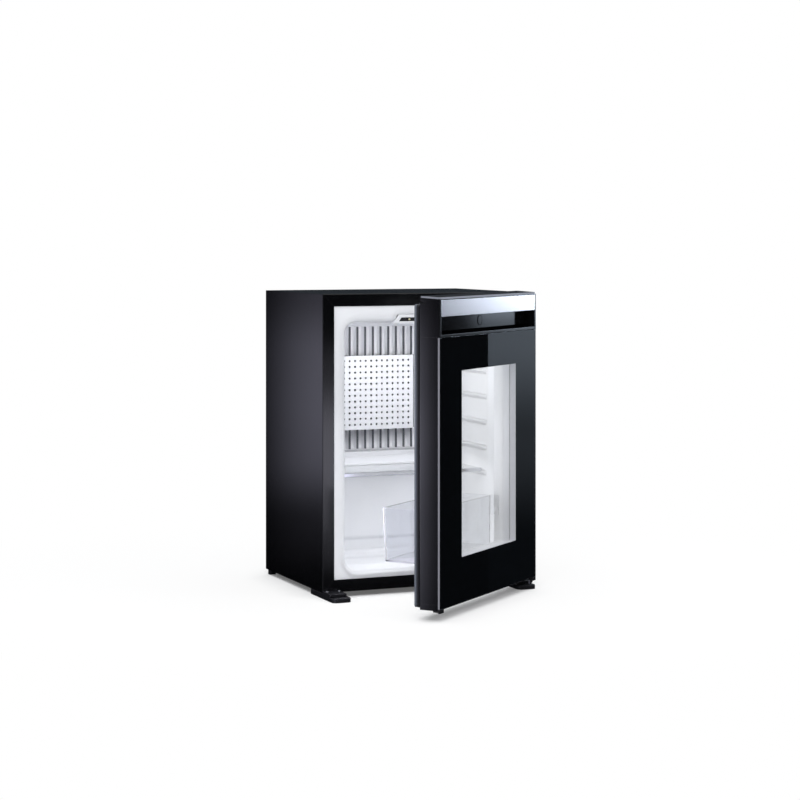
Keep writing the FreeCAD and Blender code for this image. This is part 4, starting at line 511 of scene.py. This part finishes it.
@dataclass(frozen=True)
class ScrewHead:
    """Pan head with a cross recess; its lengths are shares of its radius.

    Attributes:
        sides: Points round the head.
        rings: Radii of the rings of points.
        arm: Half width of the recess's arms.
        reach: Length of the recess's arms.
        dome: Height of the dome.
        fall: How far the dome falls to the rim; 1 is a half ball.
        pit: Depth of the recess.
    """

    sides: int = 40
    rings: tuple[float, ...] = (0.0, 0.14, 0.2, 0.3, 0.42, 0.52, 0.58, 0.72, 0.86, 0.95, 1.0)
    arm: float = 0.13
    reach: float = 0.55
    dome: float = 0.5
    fall: float = 0.92
    pit: float = 0.34

    def patch(self, centre: Vector, axis: Vector, radius: float) -> Patch:
        """Visible side of the head: height over the polar grid is a dome less a cross-shaped pit.

        Args:
            centre: Middle of the head's seat.
            axis: Direction that the head faces.
            radius: Radius of the head.

        Returns:
            Patch of the head.
        """
        share = np.array(self.rings)
        angle = np.arange(self.sides) * (FULL_TURN / self.sides)
        u = np.abs(share[:, None] * np.cos(angle))
        v = np.abs(share[:, None] * np.sin(angle))
        in_pit = (np.minimum(u, v) < self.arm) & (np.maximum(u, v) < self.reach)
        dome = self.dome * np.sqrt(1.0 - self.fall * share**2)
        height = dome[:, None] - self.pit * in_pit
        height[-1] = 0.0
        return turned(radius * share, radius * height, centre, axis, self.sides)


def put(name: str, data: bpy.types.ID, hidden_from: tuple[str, ...] = ()) -> bpy.types.Object:
    """Put new data in the scene as an object.

    Args:
        name: Name of the object.
        data: Mesh, light or camera of the object.
        hidden_from: Kinds of rays that don't meet it.

    Returns:
        The new object.
    """
    made = bpy.data.objects.new(name, data)
    bpy.context.scene.collection.objects.link(made)
    for kind in hidden_from:
        setattr(made, f"visible_{kind}", False)
    return made


@dataclass
class Workshop:
    """Turns patches into pieces that ride on the frame and dresses the frame's own nodes."""

    nodes: dict = field(default_factory=lambda: frame["nodes"])
    merge_distance: float = 1e-7

    def piece(self, name: str, patch: Patch, body: str, finish: Finish,
              smooth: bool = True, replaces: tuple[str, ...] = ()) -> bpy.types.Object:
        """Make one piece from a patch.

        Args:
            name: Name of the piece.
            patch: Its surface, in metres in the frame.
            body: Body that it rides on.
            finish: Finish that it gets.
            smooth: Shade the faces smoothly.
            replaces: Nodes that the piece stands for.

        Returns:
            The new object.
        """
        mesh = bpy.data.meshes.new(name)
        mesh.from_pydata(patch.points.tolist(), [], patch.faces.tolist())
        work = bmesh.new()
        work.from_mesh(mesh)
        bmesh.ops.remove_doubles(work, verts=work.verts, dist=self.merge_distance)
        bmesh.ops.recalc_face_normals(work, faces=work.faces)
        work.to_mesh(mesh)
        work.free()
        mesh.polygons.foreach_set("use_smooth", np.full(len(mesh.polygons), smooth))
        mesh.materials.append(finish.material())
        made = put(name, mesh)
        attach(made, body)
        if replaces:
            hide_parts(*replaces)
        LOG.info("piece %s on %s with %d faces", name, body, len(mesh.polygons))
        return made

    def screws(self, name: str, places: list[Triple], axis: Triple, radius: float, finish: Finish) -> None:
        """Make a set of equal screw heads on the cabinet as one piece.

        Args:
            name: Name of the piece.
            places: Seats of the heads, in millimetres.
            axis: Direction that the heads face.
            radius: Radius of the heads, in millimetres.
            finish: Finish of the heads.
        """
        heads = [ScrewHead().patch(Vector(place) * MM, Vector(axis), radius * MM) for place in places]
        self.piece(name, Patch.merged(heads), "cabinet", finish)

    def dress(self, finish: Finish, names: tuple[str, ...]) -> None:
        """Give nodes of the frame a finish.

        Args:
            finish: Finish to give.
            names: Names of the nodes.
        """
        for name in names:
            node = self.nodes[name]
            node.data.materials.clear()
            node.data.materials.append(finish.material())
            node.visible_shadow = finish.casts_shadow
            LOG.info("node %s in %s", name, finish.name)


class Assembly:
    """Sub-assembly of the fridge, with the nodes that get each finish."""

    FINISHES: dict[Finish, tuple[str, ...]] = {}

    def build(self, shop: Workshop) -> None:
        """Add the pieces that the frame doesn't have.

        Args:
            shop: Workshop that makes the pieces.
        """

    def dress(self, shop: Workshop) -> None:
        """Give the nodes their finishes.

        Args:
            shop: Workshop that dresses the nodes.
        """
        for finish, names in self.FINISHES.items():
            shop.dress(finish, names)


@dataclass
class Casing(Assembly):
    """Casing of folded sheet with its feet and hinge hardware; sizes in millimetres."""

    FINISHES = {
        Finishes.CASING: ("left_side_panel", "right_side_panel", "top_panel", "base_panel"),
        Finishes.ZINC: ("rear_panel",),
        Finishes.FOAM: ("insulation_foam", "insulation_plug"),
        Finishes.FOOT: ("left_hinge_foot", "right_hinge_foot", "rear_feet", "upper_hinge_bracket"),
        Finishes.PIN: ("lower_hinge_pin", "upper_hinge_pin"),
    }

    foot_ledge: float = 13.2
    foot_screw_depth: float = -160.0
    foot_screw_places: Pair = (172.0, 195.0)
    foot_screw_radius: float = 2.6
    bracket_level: float = 540.5
    bracket_depth: float = -155.5
    bracket_screw_places: Pair = (158.0, 175.0)
    bracket_screw_radius: float = 2.4

    def build(self, shop: Workshop) -> None:
        """Add the screws of the feet and of the upper hinge bracket."""
        for side, label in ((-1, "left"), (1, "right")):
            places = [(side * x, self.foot_screw_depth, self.foot_ledge) for x in self.foot_screw_places]
            shop.screws(f"{label}_foot_screws", places, (0, 0, 1), self.foot_screw_radius, Finishes.SCREW)
        places = [(x, self.bracket_depth, self.bracket_level) for x in self.bracket_screw_places]
        shop.screws("bracket_screws", places, (0, -1, 0), self.bracket_screw_radius, Finishes.SCREW_BLACK)


@dataclass
class Interior(Assembly):
    """White cavity with its cooling plate, light, shelf and button."""

    FINISHES = {
        Finishes.MOUTH: ("inner_liner",),
        Finishes.LAMP_WHITE: ("light_housing", "drain_tube"),
        Finishes.FIN: ("evaporator_fins",),
        Finishes.GUARD: ("evaporator_guard",),
        Finishes.GUTTER: ("drip_gutter", "shelf_rear_stop"),
        Finishes.DIFFUSER: ("light_diffuser",),
        Finishes.CONTROL: ("control_strip",),
        Finishes.LED: ("indicator_led",),
        Finishes.BUTTON: ("temperature_button",),
        Finishes.SHELF: ("shelf_plate",),
        Finishes.TRIM: ("shelf_front_trim",),
    }


@dataclass
class Door(Assembly):
    """Glazed door with its gasket, handle and rack; sizes in millimetres, angles in degrees."""

    FINISHES = {
        Finishes.GLASS: ("front_glass", "inner_glass"),
        Finishes.SPACER: ("glazing_spacer",),
        Finishes.DOOR: ("door_frame", "door_bottom_cap", "handle_housing"),
        Finishes.LINER: ("inner_door_panel",),
        Finishes.CAP: ("door_top_cap",),
        Finishes.STRIP: ("handle_strip",),
        Finishes.PANEL: ("recess_panel", "lock_plug"),
        Finishes.GASKET: ("door_gasket",),
        Finishes.BUSH: ("lower_hinge_bushes", "upper_hinge_bushes"),
        Finishes.RACK: ("door_rack",),
    }
    # A foot, a bellows fold and a flat magnet face with two lips: distance from the outer edge, then depth.
    GASKET_SECTION = np.array([
        (0.4, 38.6), (0.2, 40.0), (1.4, 41.4), (2.8, 42.6), (3.0, 44.2), (1.6, 45.4), (0.2, 46.6),
        (0.0, 49.0), (0.3, 51.4), (1.3, 52.4), (0.1, 54.6), (0.5, 55.3), (2.6, 54.2), (4.2, 54.9),
        (8.0, 54.9), (9.4, 54.2), (11.5, 55.3), (11.9, 54.6), (10.7, 52.4), (11.7, 51.4), (12.0, 49.0),
        (11.8, 46.6), (10.4, 45.4), (9.0, 44.2), (9.2, 42.6), (10.6, 41.4), (11.8, 40.0), (11.6, 38.6),
    ])

    right: float = 199.0
    front: float = -209.0
    width: float = 398.0
    low: float = 22.5
    glass_high: float = 479.0
    axis_x: float = 189.0
    axis_y: float = -201.0
    open_angle: float = 39.5
    lock_place: float = 199.0
    lock_level: float = 502.0
    lock_depth: float = 19.78
    lock_radius: float = 8.3
    groove_width: float = 0.7
    groove_height: float = 0.11
    groove_steps: int = 65
    recess_side: float = 5.2
    recess_low: float = 483.5
    recess_round: float = 5.0
    recess_deep: float = 22.0
    recess_edge: float = 0.8
    # Gap and thickness of the painted shadow skin in the recess.
    shadow_gap: float = 0.02
    shadow_thickness: float = 0.10
    window_margin: float = 87.0
    window_low: float = 99.8
    window_high: float = 419.8
    window_corner: float = 3.0
    collar_spread: float = 3.0
    collar_wall: float = 0.8
    collar_front: float = 20.3
    collar_back: float = 41.0
    print_depth: float = 3.96
    print_thickness: float = 0.02
    print_inset: float = 0.6
    print_corner: float = 0.8
    edge_skin: float = 0.05
    edge_corner: float = 0.6
    edge_front: float = 0.6
    edge_back: float = 3.9
    gasket_side: float = 13.0
    gasket_corner: float = 5.0
    gasket_least_corner: float = 1.0
    gasket_corner_share: float = 0.3
    fold_depth: float = 51.0
    corner_steps: int = 9

    def place(self, points: np.ndarray) -> np.ndarray:
        """Turn door places into the frame: s from the hinge edge, t from the front face, z up.

        Args:
            points: Array of ... x 3 with s, t and z in millimetres.

        Returns:
            Array of the same shape in metres, with the door open as it is at rest.
        """
        angle = math.radians(self.open_angle)
        across = self.right - points[..., 0] - self.axis_x
        deep = self.front + points[..., 1] - self.axis_y
        x = self.axis_x + across * math.cos(angle) - deep * math.sin(angle)
        y = self.axis_y + across * math.sin(angle) + deep * math.cos(angle)
        return np.stack([x, y, points[..., 2]], axis=-1) * MM

    def outline(self, margin: float, low: float, high: float, radius: float) -> np.ndarray:
        """Rectangle with round corners: each corner is a quarter circle about its own centre.

        Args:
            margin: Distance from both sides of the door.
            low: Height of the lower edge.
            high: Height of the upper edge.
            radius: Radius of the corners.

        Returns:
            Array of points x 2 with s and z, turning left from the corner of low s and high z.
        """
        starts = np.array([1, 2, 3, 0]) * QUARTER_TURN
        angle = starts[:, None] + np.linspace(0.0, QUARTER_TURN, self.corner_steps)
        near, far = margin + radius, self.width - margin - radius
        bottom, top = low + radius, high - radius
        s = np.array([near, near, far, far])[:, None] + radius * np.cos(angle)
        z = np.array([top, bottom, bottom, top])[:, None] + radius * np.sin(angle)
        return np.stack([s.ravel(), z.ravel()], axis=-1)

    def pane(self, inset: float, corner: float) -> np.ndarray:
        """Outline of the front pane, drawn in by an inset."""
        return self.outline(inset, self.low + inset, self.glass_high - inset, corner)

    def window(self, spread: float, corner: float) -> np.ndarray:
        """Outline of the window, widened by a spread."""
        margin = self.window_margin - spread
        return self.outline(margin, self.window_low - spread, self.window_high + spread, corner)

    def ring(self, *outlines: tuple[np.ndarray, float]) -> Patch:
        """Closed ring through outlines in s and z, each given with its depth t."""
        columns = [np.insert(outline, 1, depth, axis=1) for outline, depth in outlines]
        return Patch.grid(self.place(np.stack(columns, axis=1)), True, True)

    def tube(self, outer: np.ndarray, inner: np.ndarray, front: float, back: float) -> Patch:
        """Closed ring between two outlines, from a front depth to a back one."""
        return self.ring((outer, front), (inner, front), (inner, back), (outer, back))

    def print_patch(self) -> Patch:
        """Black print behind the front pane: a thin ring between the pane's outline and the window's."""
        outer = self.pane(self.print_inset, self.window_corner)
        inner = self.window(0.0, self.print_corner)
        return self.tube(outer, inner, self.print_depth, self.print_depth + self.print_thickness)

    def collar_patch(self) -> Patch:
        """White lining of the window's reveal: a thin rectangular tube from the spacer to the inner panel."""
        outer = self.window(self.collar_spread, self.window_corner)
        inner = self.window(self.collar_spread - self.collar_wall, self.window_corner - self.collar_wall)
        return self.tube(outer, inner, self.collar_front, self.collar_back)

    def edge_patch(self) -> Patch:
        """Ground edge of the front pane: a thin skin round the pane's narrow sides."""
        skin = self.edge_skin
        inner = self.pane(0.0, self.edge_corner)
        outer = self.pane(-skin, self.edge_corner)
        return self.ring((inner, self.edge_front - skin), (outer, self.edge_front),
                         (outer, self.edge_back), (inner, self.edge_back + skin))

    def gasket_patch(self) -> Patch:
        """Gasket: its section carried round a rectangle with round corners, shrinking towards the inside."""
        bottom, top = (corner[2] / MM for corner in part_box("door_gasket"))
        outlines = []
        for inset, depth in self.GASKET_SECTION:
            radius = max(self.gasket_corner - inset * self.gasket_corner_share, self.gasket_least_corner)
            outline = self.outline(self.gasket_side + inset, bottom + inset, top - inset, radius)
            outlines.append((outline, depth))
        return self.ring(*outlines)

    def gasket_tags(self) -> np.ndarray:
        """Material of each face of the gasket: 1 on the folds next to the foot, which carry painted shade, 0
        elsewhere.
        """
        depth = self.GASKET_SECTION[:, 1]
        middle = (depth + np.roll(depth, -1)) / 2
        folds = (middle < self.fold_depth).astype(np.int32)
        return np.tile(folds, 4 * self.corner_steps)

    def groove_patch(self) -> Patch:
        """Dark groove round the lock blank: a low rectangular section turned about the blank's axis."""
        inner = self.lock_radius
        outer = inner + self.groove_width
        tall = self.groove_height
        section = np.array([(inner, 0.0), (outer, 0.0), (outer, tall), (inner, tall), (inner, 0.0)])
        angle = np.linspace(0.0, FULL_TURN, self.groove_steps)[:, None]
        s = self.lock_place + section[:, 0] * np.cos(angle)
        z = self.lock_level + section[:, 0] * np.sin(angle)
        t = self.lock_depth + np.broadcast_to(section[:, 1], s.shape)
        return Patch.grid(self.place(np.stack([s, t, z], axis=-1)), False, False)

    def recess_shadow_patch(self) -> Patch:
        """Painted shadow in the recess: a thin dark skin along the floor and up the round at its back, where
        shade falls.
        """
        swing = np.linspace(-QUARTER_TURN, 0.0, self.corner_steps)
        centre = np.array([self.recess_deep - self.recess_round, self.recess_low + self.recess_round])
        sides = []
        for gap in (self.shadow_gap, self.shadow_gap + self.shadow_thickness):
            bend = centre + (self.recess_round - gap) * np.stack([np.cos(swing), np.sin(swing)], axis=-1)
            sides.append(np.concatenate([[(self.recess_edge, self.recess_low + gap)], bend]))
        under, over = sides
        full = np.concatenate([under, over[::-1]])
        shut = np.concatenate([under, under[::-1]])
        near, far = self.recess_side, self.width - self.recess_side
        rows = [(shut, near), (full, near), (full, far), (shut, far)]
        points = [np.insert(profile, 0, s, axis=1) for profile, s in rows]
        return Patch.grid(self.place(np.stack(points)), False, True)

    def build(self, shop: Workshop) -> None:
        """Add the pane's print and edge, the gasket, the window's collar, the groove and the painted shadow
        in the recess.
        """
        shop.piece("glass_print", self.print_patch(), "door", Finishes.PRINT, smooth=False)
        shop.piece("glass_ground_edge", self.edge_patch(), "door", Finishes.GROUND_EDGE,
                   smooth=False)
        gasket = shop.piece("bellows_gasket", self.gasket_patch(), "door", Finishes.GASKET,
                            replaces=("door_gasket",))
        # Second material: painted shade on the folds next to the foot.
        gasket.data.materials.append(Finishes.GASKET_FOLD_SHADE.material())
        gasket.data.polygons.foreach_set("material_index", self.gasket_tags())
        shop.piece("window_collar", self.collar_patch(), "door", Finishes.LINER, smooth=False)
        shop.piece("lock_groove", self.groove_patch(), "door", Finishes.GROOVE_AND_SHADOW, smooth=False)
        # Painted shadow: a dull black skin in the recess, where shade falls.
        shop.piece("recess_painted_shadow", self.recess_shadow_patch(), "door", Finishes.GROOVE_AND_SHADOW)


@dataclass
class CoolingUnit(Assembly):
    """Absorption cooling unit on the back; sizes in millimetres."""

    FINISHES = {
        Finishes.ZINC: ("unit_mounting_plate", "boiler_casing", "vessel_saddles"),
        Finishes.UNIT: ("evaporator_tube", "absorber_vessel", "absorber_coil", "heat_exchanger_tube",
                        "condenser_tube", "condenser_fins"),
        Finishes.PIN: ("heating_element",),
        Finishes.BOX: ("electronics_box", "cable_gland"),
    }

    plate_back: float = 154.2
    plate_places: Pair = (-104.0, 104.0)
    plate_levels: Triple = (226.0, 361.0, 496.0)
    saddle_back: float = 155.0
    saddle_places: Pair = (-1.0, 125.0)
    saddle_levels: Pair = (50.0, 74.0)
    box_back: float = 187.0
    box_places: tuple[Pair, ...] = ((124.0, 322.0), (184.0, 268.0))
    screw_radius: float = 3.2
    vessel_y: float = 197.0
    vessel_z: float = 54.0
    vessel_radius: float = 24.0
    weld_places: Pair = (-36.0, 140.0)
    weld_sink: float = 0.1
    weld_height: float = 0.9
    weld_half: float = 2.4
    weld_steps: int = 9
    weld_sides: int = 64

    def weld_patch(self) -> Patch:
        """Weld beads round the vessel: a low half-round bump carried round the vessel's axis."""
        swing = np.linspace(0.0, math.pi, self.weld_steps)
        radius = (self.vessel_radius - self.weld_sink + self.weld_height * np.sin(swing)) * MM
        height = -self.weld_half * np.cos(swing)[:, None] * MM
        centres = [Vector((x, self.vessel_y, self.vessel_z)) * MM for x in self.weld_places]
        axis = Vector((1, 0, 0))
        return Patch.merged([turned(radius, height, centre, axis, self.weld_sides) for centre in centres])

    def build(self, shop: Workshop) -> None:
        """Add the screws and the weld beads."""
        sets = {
            "plate": [(x, self.plate_back, z) for x in self.plate_places for z in self.plate_levels],
            "saddle": [(x, self.saddle_back, z) for x in self.saddle_places for z in self.saddle_levels],
            "box": [(x, self.box_back, z) for x, z in self.box_places],
        }
        for name, places in sets.items():
            shop.screws(f"{name}_screws", places, (0, 1, 0), self.screw_radius, Finishes.SCREW)
        shop.piece("vessel_welds", self.weld_patch(), "cabinet", Finishes.UNIT)


def stage_plane(name: str, corners: list[Triple], paint: Material, hidden_from: tuple[str, ...]) -> None:
    """Add a plane with four corners to the scene.

    Args:
        name: Name of the plane.
        corners: Its corners, in metres.
        paint: Its material.
        hidden_from: Kinds of rays that don't meet it.
    """
    mesh = bpy.data.meshes.new(name)
    mesh.from_pydata(corners, [], [[0, 1, 2, 3]])
    mesh.materials.append(paint)
    made = put(name, mesh, hidden_from)


def level_corners(low: Pair, high: Pair, level: float) -> list[Triple]:
    """Corners of a level rectangle between two plan places."""
    plan = (low, (high[0], low[1]), high, (low[0], high[1]))
    return [(*corner, level) for corner in plan]


@dataclass(frozen=True)
class Card:
    """Reflection card of the studio, seen only in gloss.

    Attributes:
        name: Name of the card.
        start: Plan place of its first upright edge, in metres.
        end: Plan place of its second upright edge, in metres.
        level: Brightness where both fades are 1.
        heights: Shares of the brightness by height, in metres.
        sides: Shares of the brightness by distance from the first edge, in metres.
        low: Height of its lower edge.
        high: Height of its upper edge.
        tint: Colour of the card.
    """

    name: str
    start: Pair
    end: Pair
    level: float
    heights: Stops
    sides: Stops = ()
    low: float = -1.2
    high: float = 3.0
    tint: Triple = (0.88, 0.92, 1.0)

    @staticmethod
    def ramp(nodes: NodeTree, source: Socket, stops: Stops) -> Socket:
        """Fade that follows the stops.

        Args:
            nodes: Tree that gets the nodes.
            source: Socket with the place along the fade.
            stops: Pairs of place and share.

        Returns:
            Socket with the share.
        """
        first, last = stops[0][0], stops[-1][0]
        fade = nodes.node("ValToRGB", {"Fac": nodes.ranged(source, (first, last))})
        fade.color_ramp.interpolation = "EASE"
        knots = fade.color_ramp.elements
        ready = len(knots)
        for index, (place, share) in enumerate(stops):
            spot = (place - first) / (last - first)
            knot = knots[index] if index < ready else knots.new(spot)
            knot.position = spot
            knot.color = (share, share, share, 1.0)
        return fade.outputs["Color"]

    def material(self) -> Material:
        """Emission that fades with height and along the card.

        Returns:
            The card's material.
        """
        made = bpy.data.materials.new(self.name)
        nodes = NodeTree(made, empty=True)
        place = nodes.place()
        colour = self.ramp(nodes, nodes.part(place, "Z"), self.heights)
        colour = nodes.mix(1.0, colour, (*self.tint, 1.0), "MULTIPLY")
        if self.sides:
            way = (Vector(self.end) - Vector(self.start)).normalized()
            shift = nodes.out("VectorMath", "Vector", {0: place, 1: (*self.start, 0.0)}, operation="SUBTRACT")
            along = nodes.dot(shift, (way.x, way.y, 0.0))
            colour = nodes.mix(1.0, colour, self.ramp(nodes, along, self.sides), "MULTIPLY")
        light = nodes.out("Emission", "Emission", {"Color": colour, "Strength": self.level})
        nodes.node("OutputMaterial", {"Surface": light})
        return made

    def build(self) -> None:
        """Make the card as a plane that only gloss sees."""
        edges = ((self.start, self.low), (self.end, self.low), (self.end, self.high), (self.start, self.high))
        stage_plane(self.name, [(*plan, level) for plan, level in edges], self.material(), CARD_HIDDEN)


@dataclass(frozen=True)
class Lamp:
    """Soft area lamp that lights the object and isn't seen itself.

    Attributes:
        name: Name of the lamp.
        place: Where it hangs, in metres.
        aim: Point that it faces.
        width: Width of its soft face.
        height: Height of its soft face.
        power: Power in watts.
    """

    name: str
    place: Triple
    aim: Triple
    width: float
    height: float
    power: float

    def build(self) -> None:
        """Hang the lamp in the scene."""
        light = bpy.data.lights.new(self.name, "AREA")
        light.shape = "RECTANGLE"
        light.size = self.width
        light.size_y = self.height
        light.energy = self.power
        made = put(self.name, light, LAMP_HIDDEN)
        made.location = self.place
        made.rotation_euler = (Vector(self.aim) - Vector(self.place)).to_track_quat("-Z", "Y").to_euler()


@dataclass
class Studio:
    """Pale floor, soft light, reflection cards and the camera; lengths in metres."""

    image_side: int = 800
    sensor_width: float = 36.0
    focal_pixels: float = 2095.53
    horizon_pixel: float = 237.752
    yaw: float = 23.0267
    eye: Triple = (-1.54206, -3.66279, 0.64717)
    clip: Pair = (0.05, 200.0)
    room: float = 2.5
    front_wall: float = -5.0
    card_edge: float = 0.300
    under_level: float = -0.9
    under_colour: Triple = (0.01, 0.01, 0.012)
    floor_half: float = 30.0
    floor_colour: Triple = (0.95, 0.95, 0.955)
    floor_roughness: float = 0.9
    floor_specular: float = 0.1
    floor_fade: Pair = (0.45, 0.95)
    contact_reach: float = 0.10
    contact_range: Pair = (0.25, 0.85)
    contact_lift: Pair = (0.12, 0.85)
    sky_colour: Triple = (0.96, 0.98, 1.0)
    ambient: float = 0.50

    def cards(self) -> list[Card]:
        """Cards round the object: the room's walls first, then those that stand near it."""
        far = self.room
        front = self.front_wall
        edge = self.card_edge
        return [
            Card("card_right_dark", (far, front), (far, edge), 0.03, ((0.0, 0.2), (1.2, 1.0))),
            Card("card_right_light", (far, edge), (far, far), 3.3,
                 ((-0.25, 0.004), (0.06, 0.05), (0.36, 0.19), (0.50, 1.0), (0.9, 1.0)),
                 tint=(0.82, 0.95, 1.12)),
            Card("card_back", (-far, far), (far, far), 0.06, ((-0.3, 0.1), (0.5, 0.55), (1.5, 1.0)),
                 tint=(0.62, 0.80, 1.0)),
            Card("card_left", (-far, front), (-far, far), 0.5,
                 ((-0.4, 0.05), (0.1, 0.7), (0.3, 1.0), (0.7, 0.2))),
            Card("card_front", (-far, front), (far, front), 0.04, ((-0.5, 0.2), (1.5, 1.0))),
            Card("card_frame", (-0.20, -0.29), (-0.02, -0.29), 2.5,
                 ((0.02, 0.05), (0.06, 0.18), (0.16, 0.8), (0.22, 1.0), (0.28, 0.95), (0.40, 0.2),
                  (0.48, 0.0)),
                 low=0.02, high=0.56, tint=(0.86, 0.85, 1.0)),
            Card("card_side", (-1.2, 0.45), (-0.25, 0.45), 0.80,
                 ((-0.08, 0.0), (0.06, 0.10), (0.2, 0.9), (0.3, 1.0), (0.4, 0.95), (0.54, 0.35), (0.7, 0.1)),
                 ((0.0, 1.0), (0.76, 1.0), (0.91, 0.0)), low=-0.08, high=0.7, tint=(0.80, 0.79, 1.0)),
            Card("card_door_side", (-0.36, -0.76), (-0.462, -0.322), 3.1,
                 ((-0.1, 0.25), (0.1, 0.65), (0.28, 1.0), (0.40, 0.7), (0.56, 0.12)),
                 ((0.0, 0.0), (0.250, 0.01), (0.290, 1.0)), low=-0.1, high=0.56, tint=(0.82, 0.81, 1.0)),
        ]

    def lamps(self) -> list[Lamp]:
        """Lamps of the room first, then the small ones in the cavity and behind the door."""
        return [
            Lamp("key", (-1.6, -2.6, 2.4), (0.0, -0.1, 0.3), 2.2, 1.6, 46.0),
            Lamp("fill", (1.8, -2.0, 1.6), (0.0, -0.2, 0.3), 1.6, 1.6, 25.0),
            Lamp("top", (0.0, 0.2, 2.6), (0.0, 0.0, 0.0), 2.4, 2.4, 35.0),
            Lamp("cavity", (0.0, -0.06, 0.470), (0.0, 0.0, 0.0), 0.20, 0.06, 0.33),
            Lamp("fins", (-0.02, 0.02, 0.455), (-0.02, 0.117, 0.400), 0.24, 0.02, 0.042),
            Lamp("wedge", (0.02, -0.22, 0.300), (0.17, -0.153, 0.30), 0.04, 0.35, 0.07),
            Lamp("lower", (0.0, -0.04, 0.232), (0.0, 0.0, 0.0), 0.22, 0.10, 0.33),
        ]

    def under_card(self) -> None:
        """Dark level card below the floor, so that gloss meets no light from below."""
        paint = bpy.data.materials.new("card_under")
        nodes = NodeTree(paint)
        nodes.fill(nodes.tree.nodes["Principled BSDF"], {"Base Color": (*self.under_colour, 1.0)})
        corners = level_corners((-self.room, self.front_wall), (self.room, self.room), self.under_level)
        stage_plane("card_under", corners, paint, CARD_HIDDEN)

    def floor_paint(self) -> Material:
        """Pale floor that turns into plain white away from the object and keeps its contact shadow.

        Returns:
            The floor's material.
        """
        paint = bpy.data.materials.new("floor_pale")
        nodes = NodeTree(paint)
        shader = nodes.tree.nodes["Principled BSDF"]
        nodes.fill(shader, {
            "Base Color": (*self.floor_colour, 1.0),
            "Roughness": self.floor_roughness,
            "Specular IOR Level": self.floor_specular,
        })
        openness = nodes.out("AmbientOcclusion", "AO", {"Distance": self.contact_reach})
        near_white = nodes.ranged(openness, self.contact_range, self.contact_lift)
        away = nodes.out("VectorMath", "Value", {0: nodes.place()}, operation="LENGTH")
        white = nodes.ranged(away, self.floor_fade, (near_white, 1.0), interpolation_type="SMOOTHSTEP")
        share = nodes.math("MULTIPLY", white, nodes.seen_directly())
        light = nodes.out("Emission", "Emission")
        mixed = nodes.out("MixShader", "Shader", {"Fac": share, 1: shader.outputs["BSDF"], 2: light})
        nodes.fill(nodes.tree.nodes["Material Output"], {"Surface": mixed})
        return paint

    def floor(self) -> None:
        """Pale level floor that gloss doesn't see."""
        half = self.floor_half
        corners = level_corners((-half, -half), (half, half), 0.0)
        stage_plane("floor", corners, self.floor_paint(), FLOOR_HIDDEN)

    def world(self) -> None:
        """White surroundings for the camera and soft ambient light for the object."""
        world = bpy.data.worlds.new("studio")
        nodes = NodeTree(world, empty=True)
        soft = {"Color": (*self.sky_colour, 1.0), "Strength": self.ambient}
        seen = {"Color": (1.0, 1.0, 1.0, 1.0)}
        first, second = (nodes.out("Background", "Background", inputs) for inputs in (soft, seen))
        mixed = nodes.out("MixShader", "Shader", {"Fac": nodes.seen_directly(), 1: first, 2: second})
        nodes.node("OutputWorld", {"Surface": mixed})
        bpy.context.scene.world = world

    def camera(self) -> None:
        """Level camera at the photograph's place, raised in the picture by a lens shift."""
        lens = bpy.data.cameras.new("photo_camera")
        lens.sensor_width = self.sensor_width
        lens.lens = self.focal_pixels / self.image_side * self.sensor_width
        lens.shift_y = (self.horizon_pixel - self.image_side / 2) / self.image_side
        lens.clip_start, lens.clip_end = self.clip
        made = put("photo_camera", lens)
        made.location = self.eye
        made.rotation_euler = Euler((QUARTER_TURN, 0.0, -math.radians(self.yaw)))
        bpy.context.scene.camera = made

    def build(self) -> None:
        """Set up the whole studio."""
        self.camera()
        self.floor()
        self.world()
        self.under_card()
        for item in (*self.cards(), *self.lamps()):
            item.build()
        bpy.context.scene.view_settings.view_transform = "Standard"


def main() -> None:
    """Build every sub-assembly, dress the frame and set up the studio."""
    logging.basicConfig(level=logging.INFO, format="%(message)s")
    shop = Workshop()
    Studio().build()
    assemblies = (Casing(), Interior(), Door(), CoolingUnit())
    for assembly in assemblies:
        assembly.build(shop)
    for assembly in assemblies:
        assembly.dress(shop)


if __name__ == "__main__":
    main()
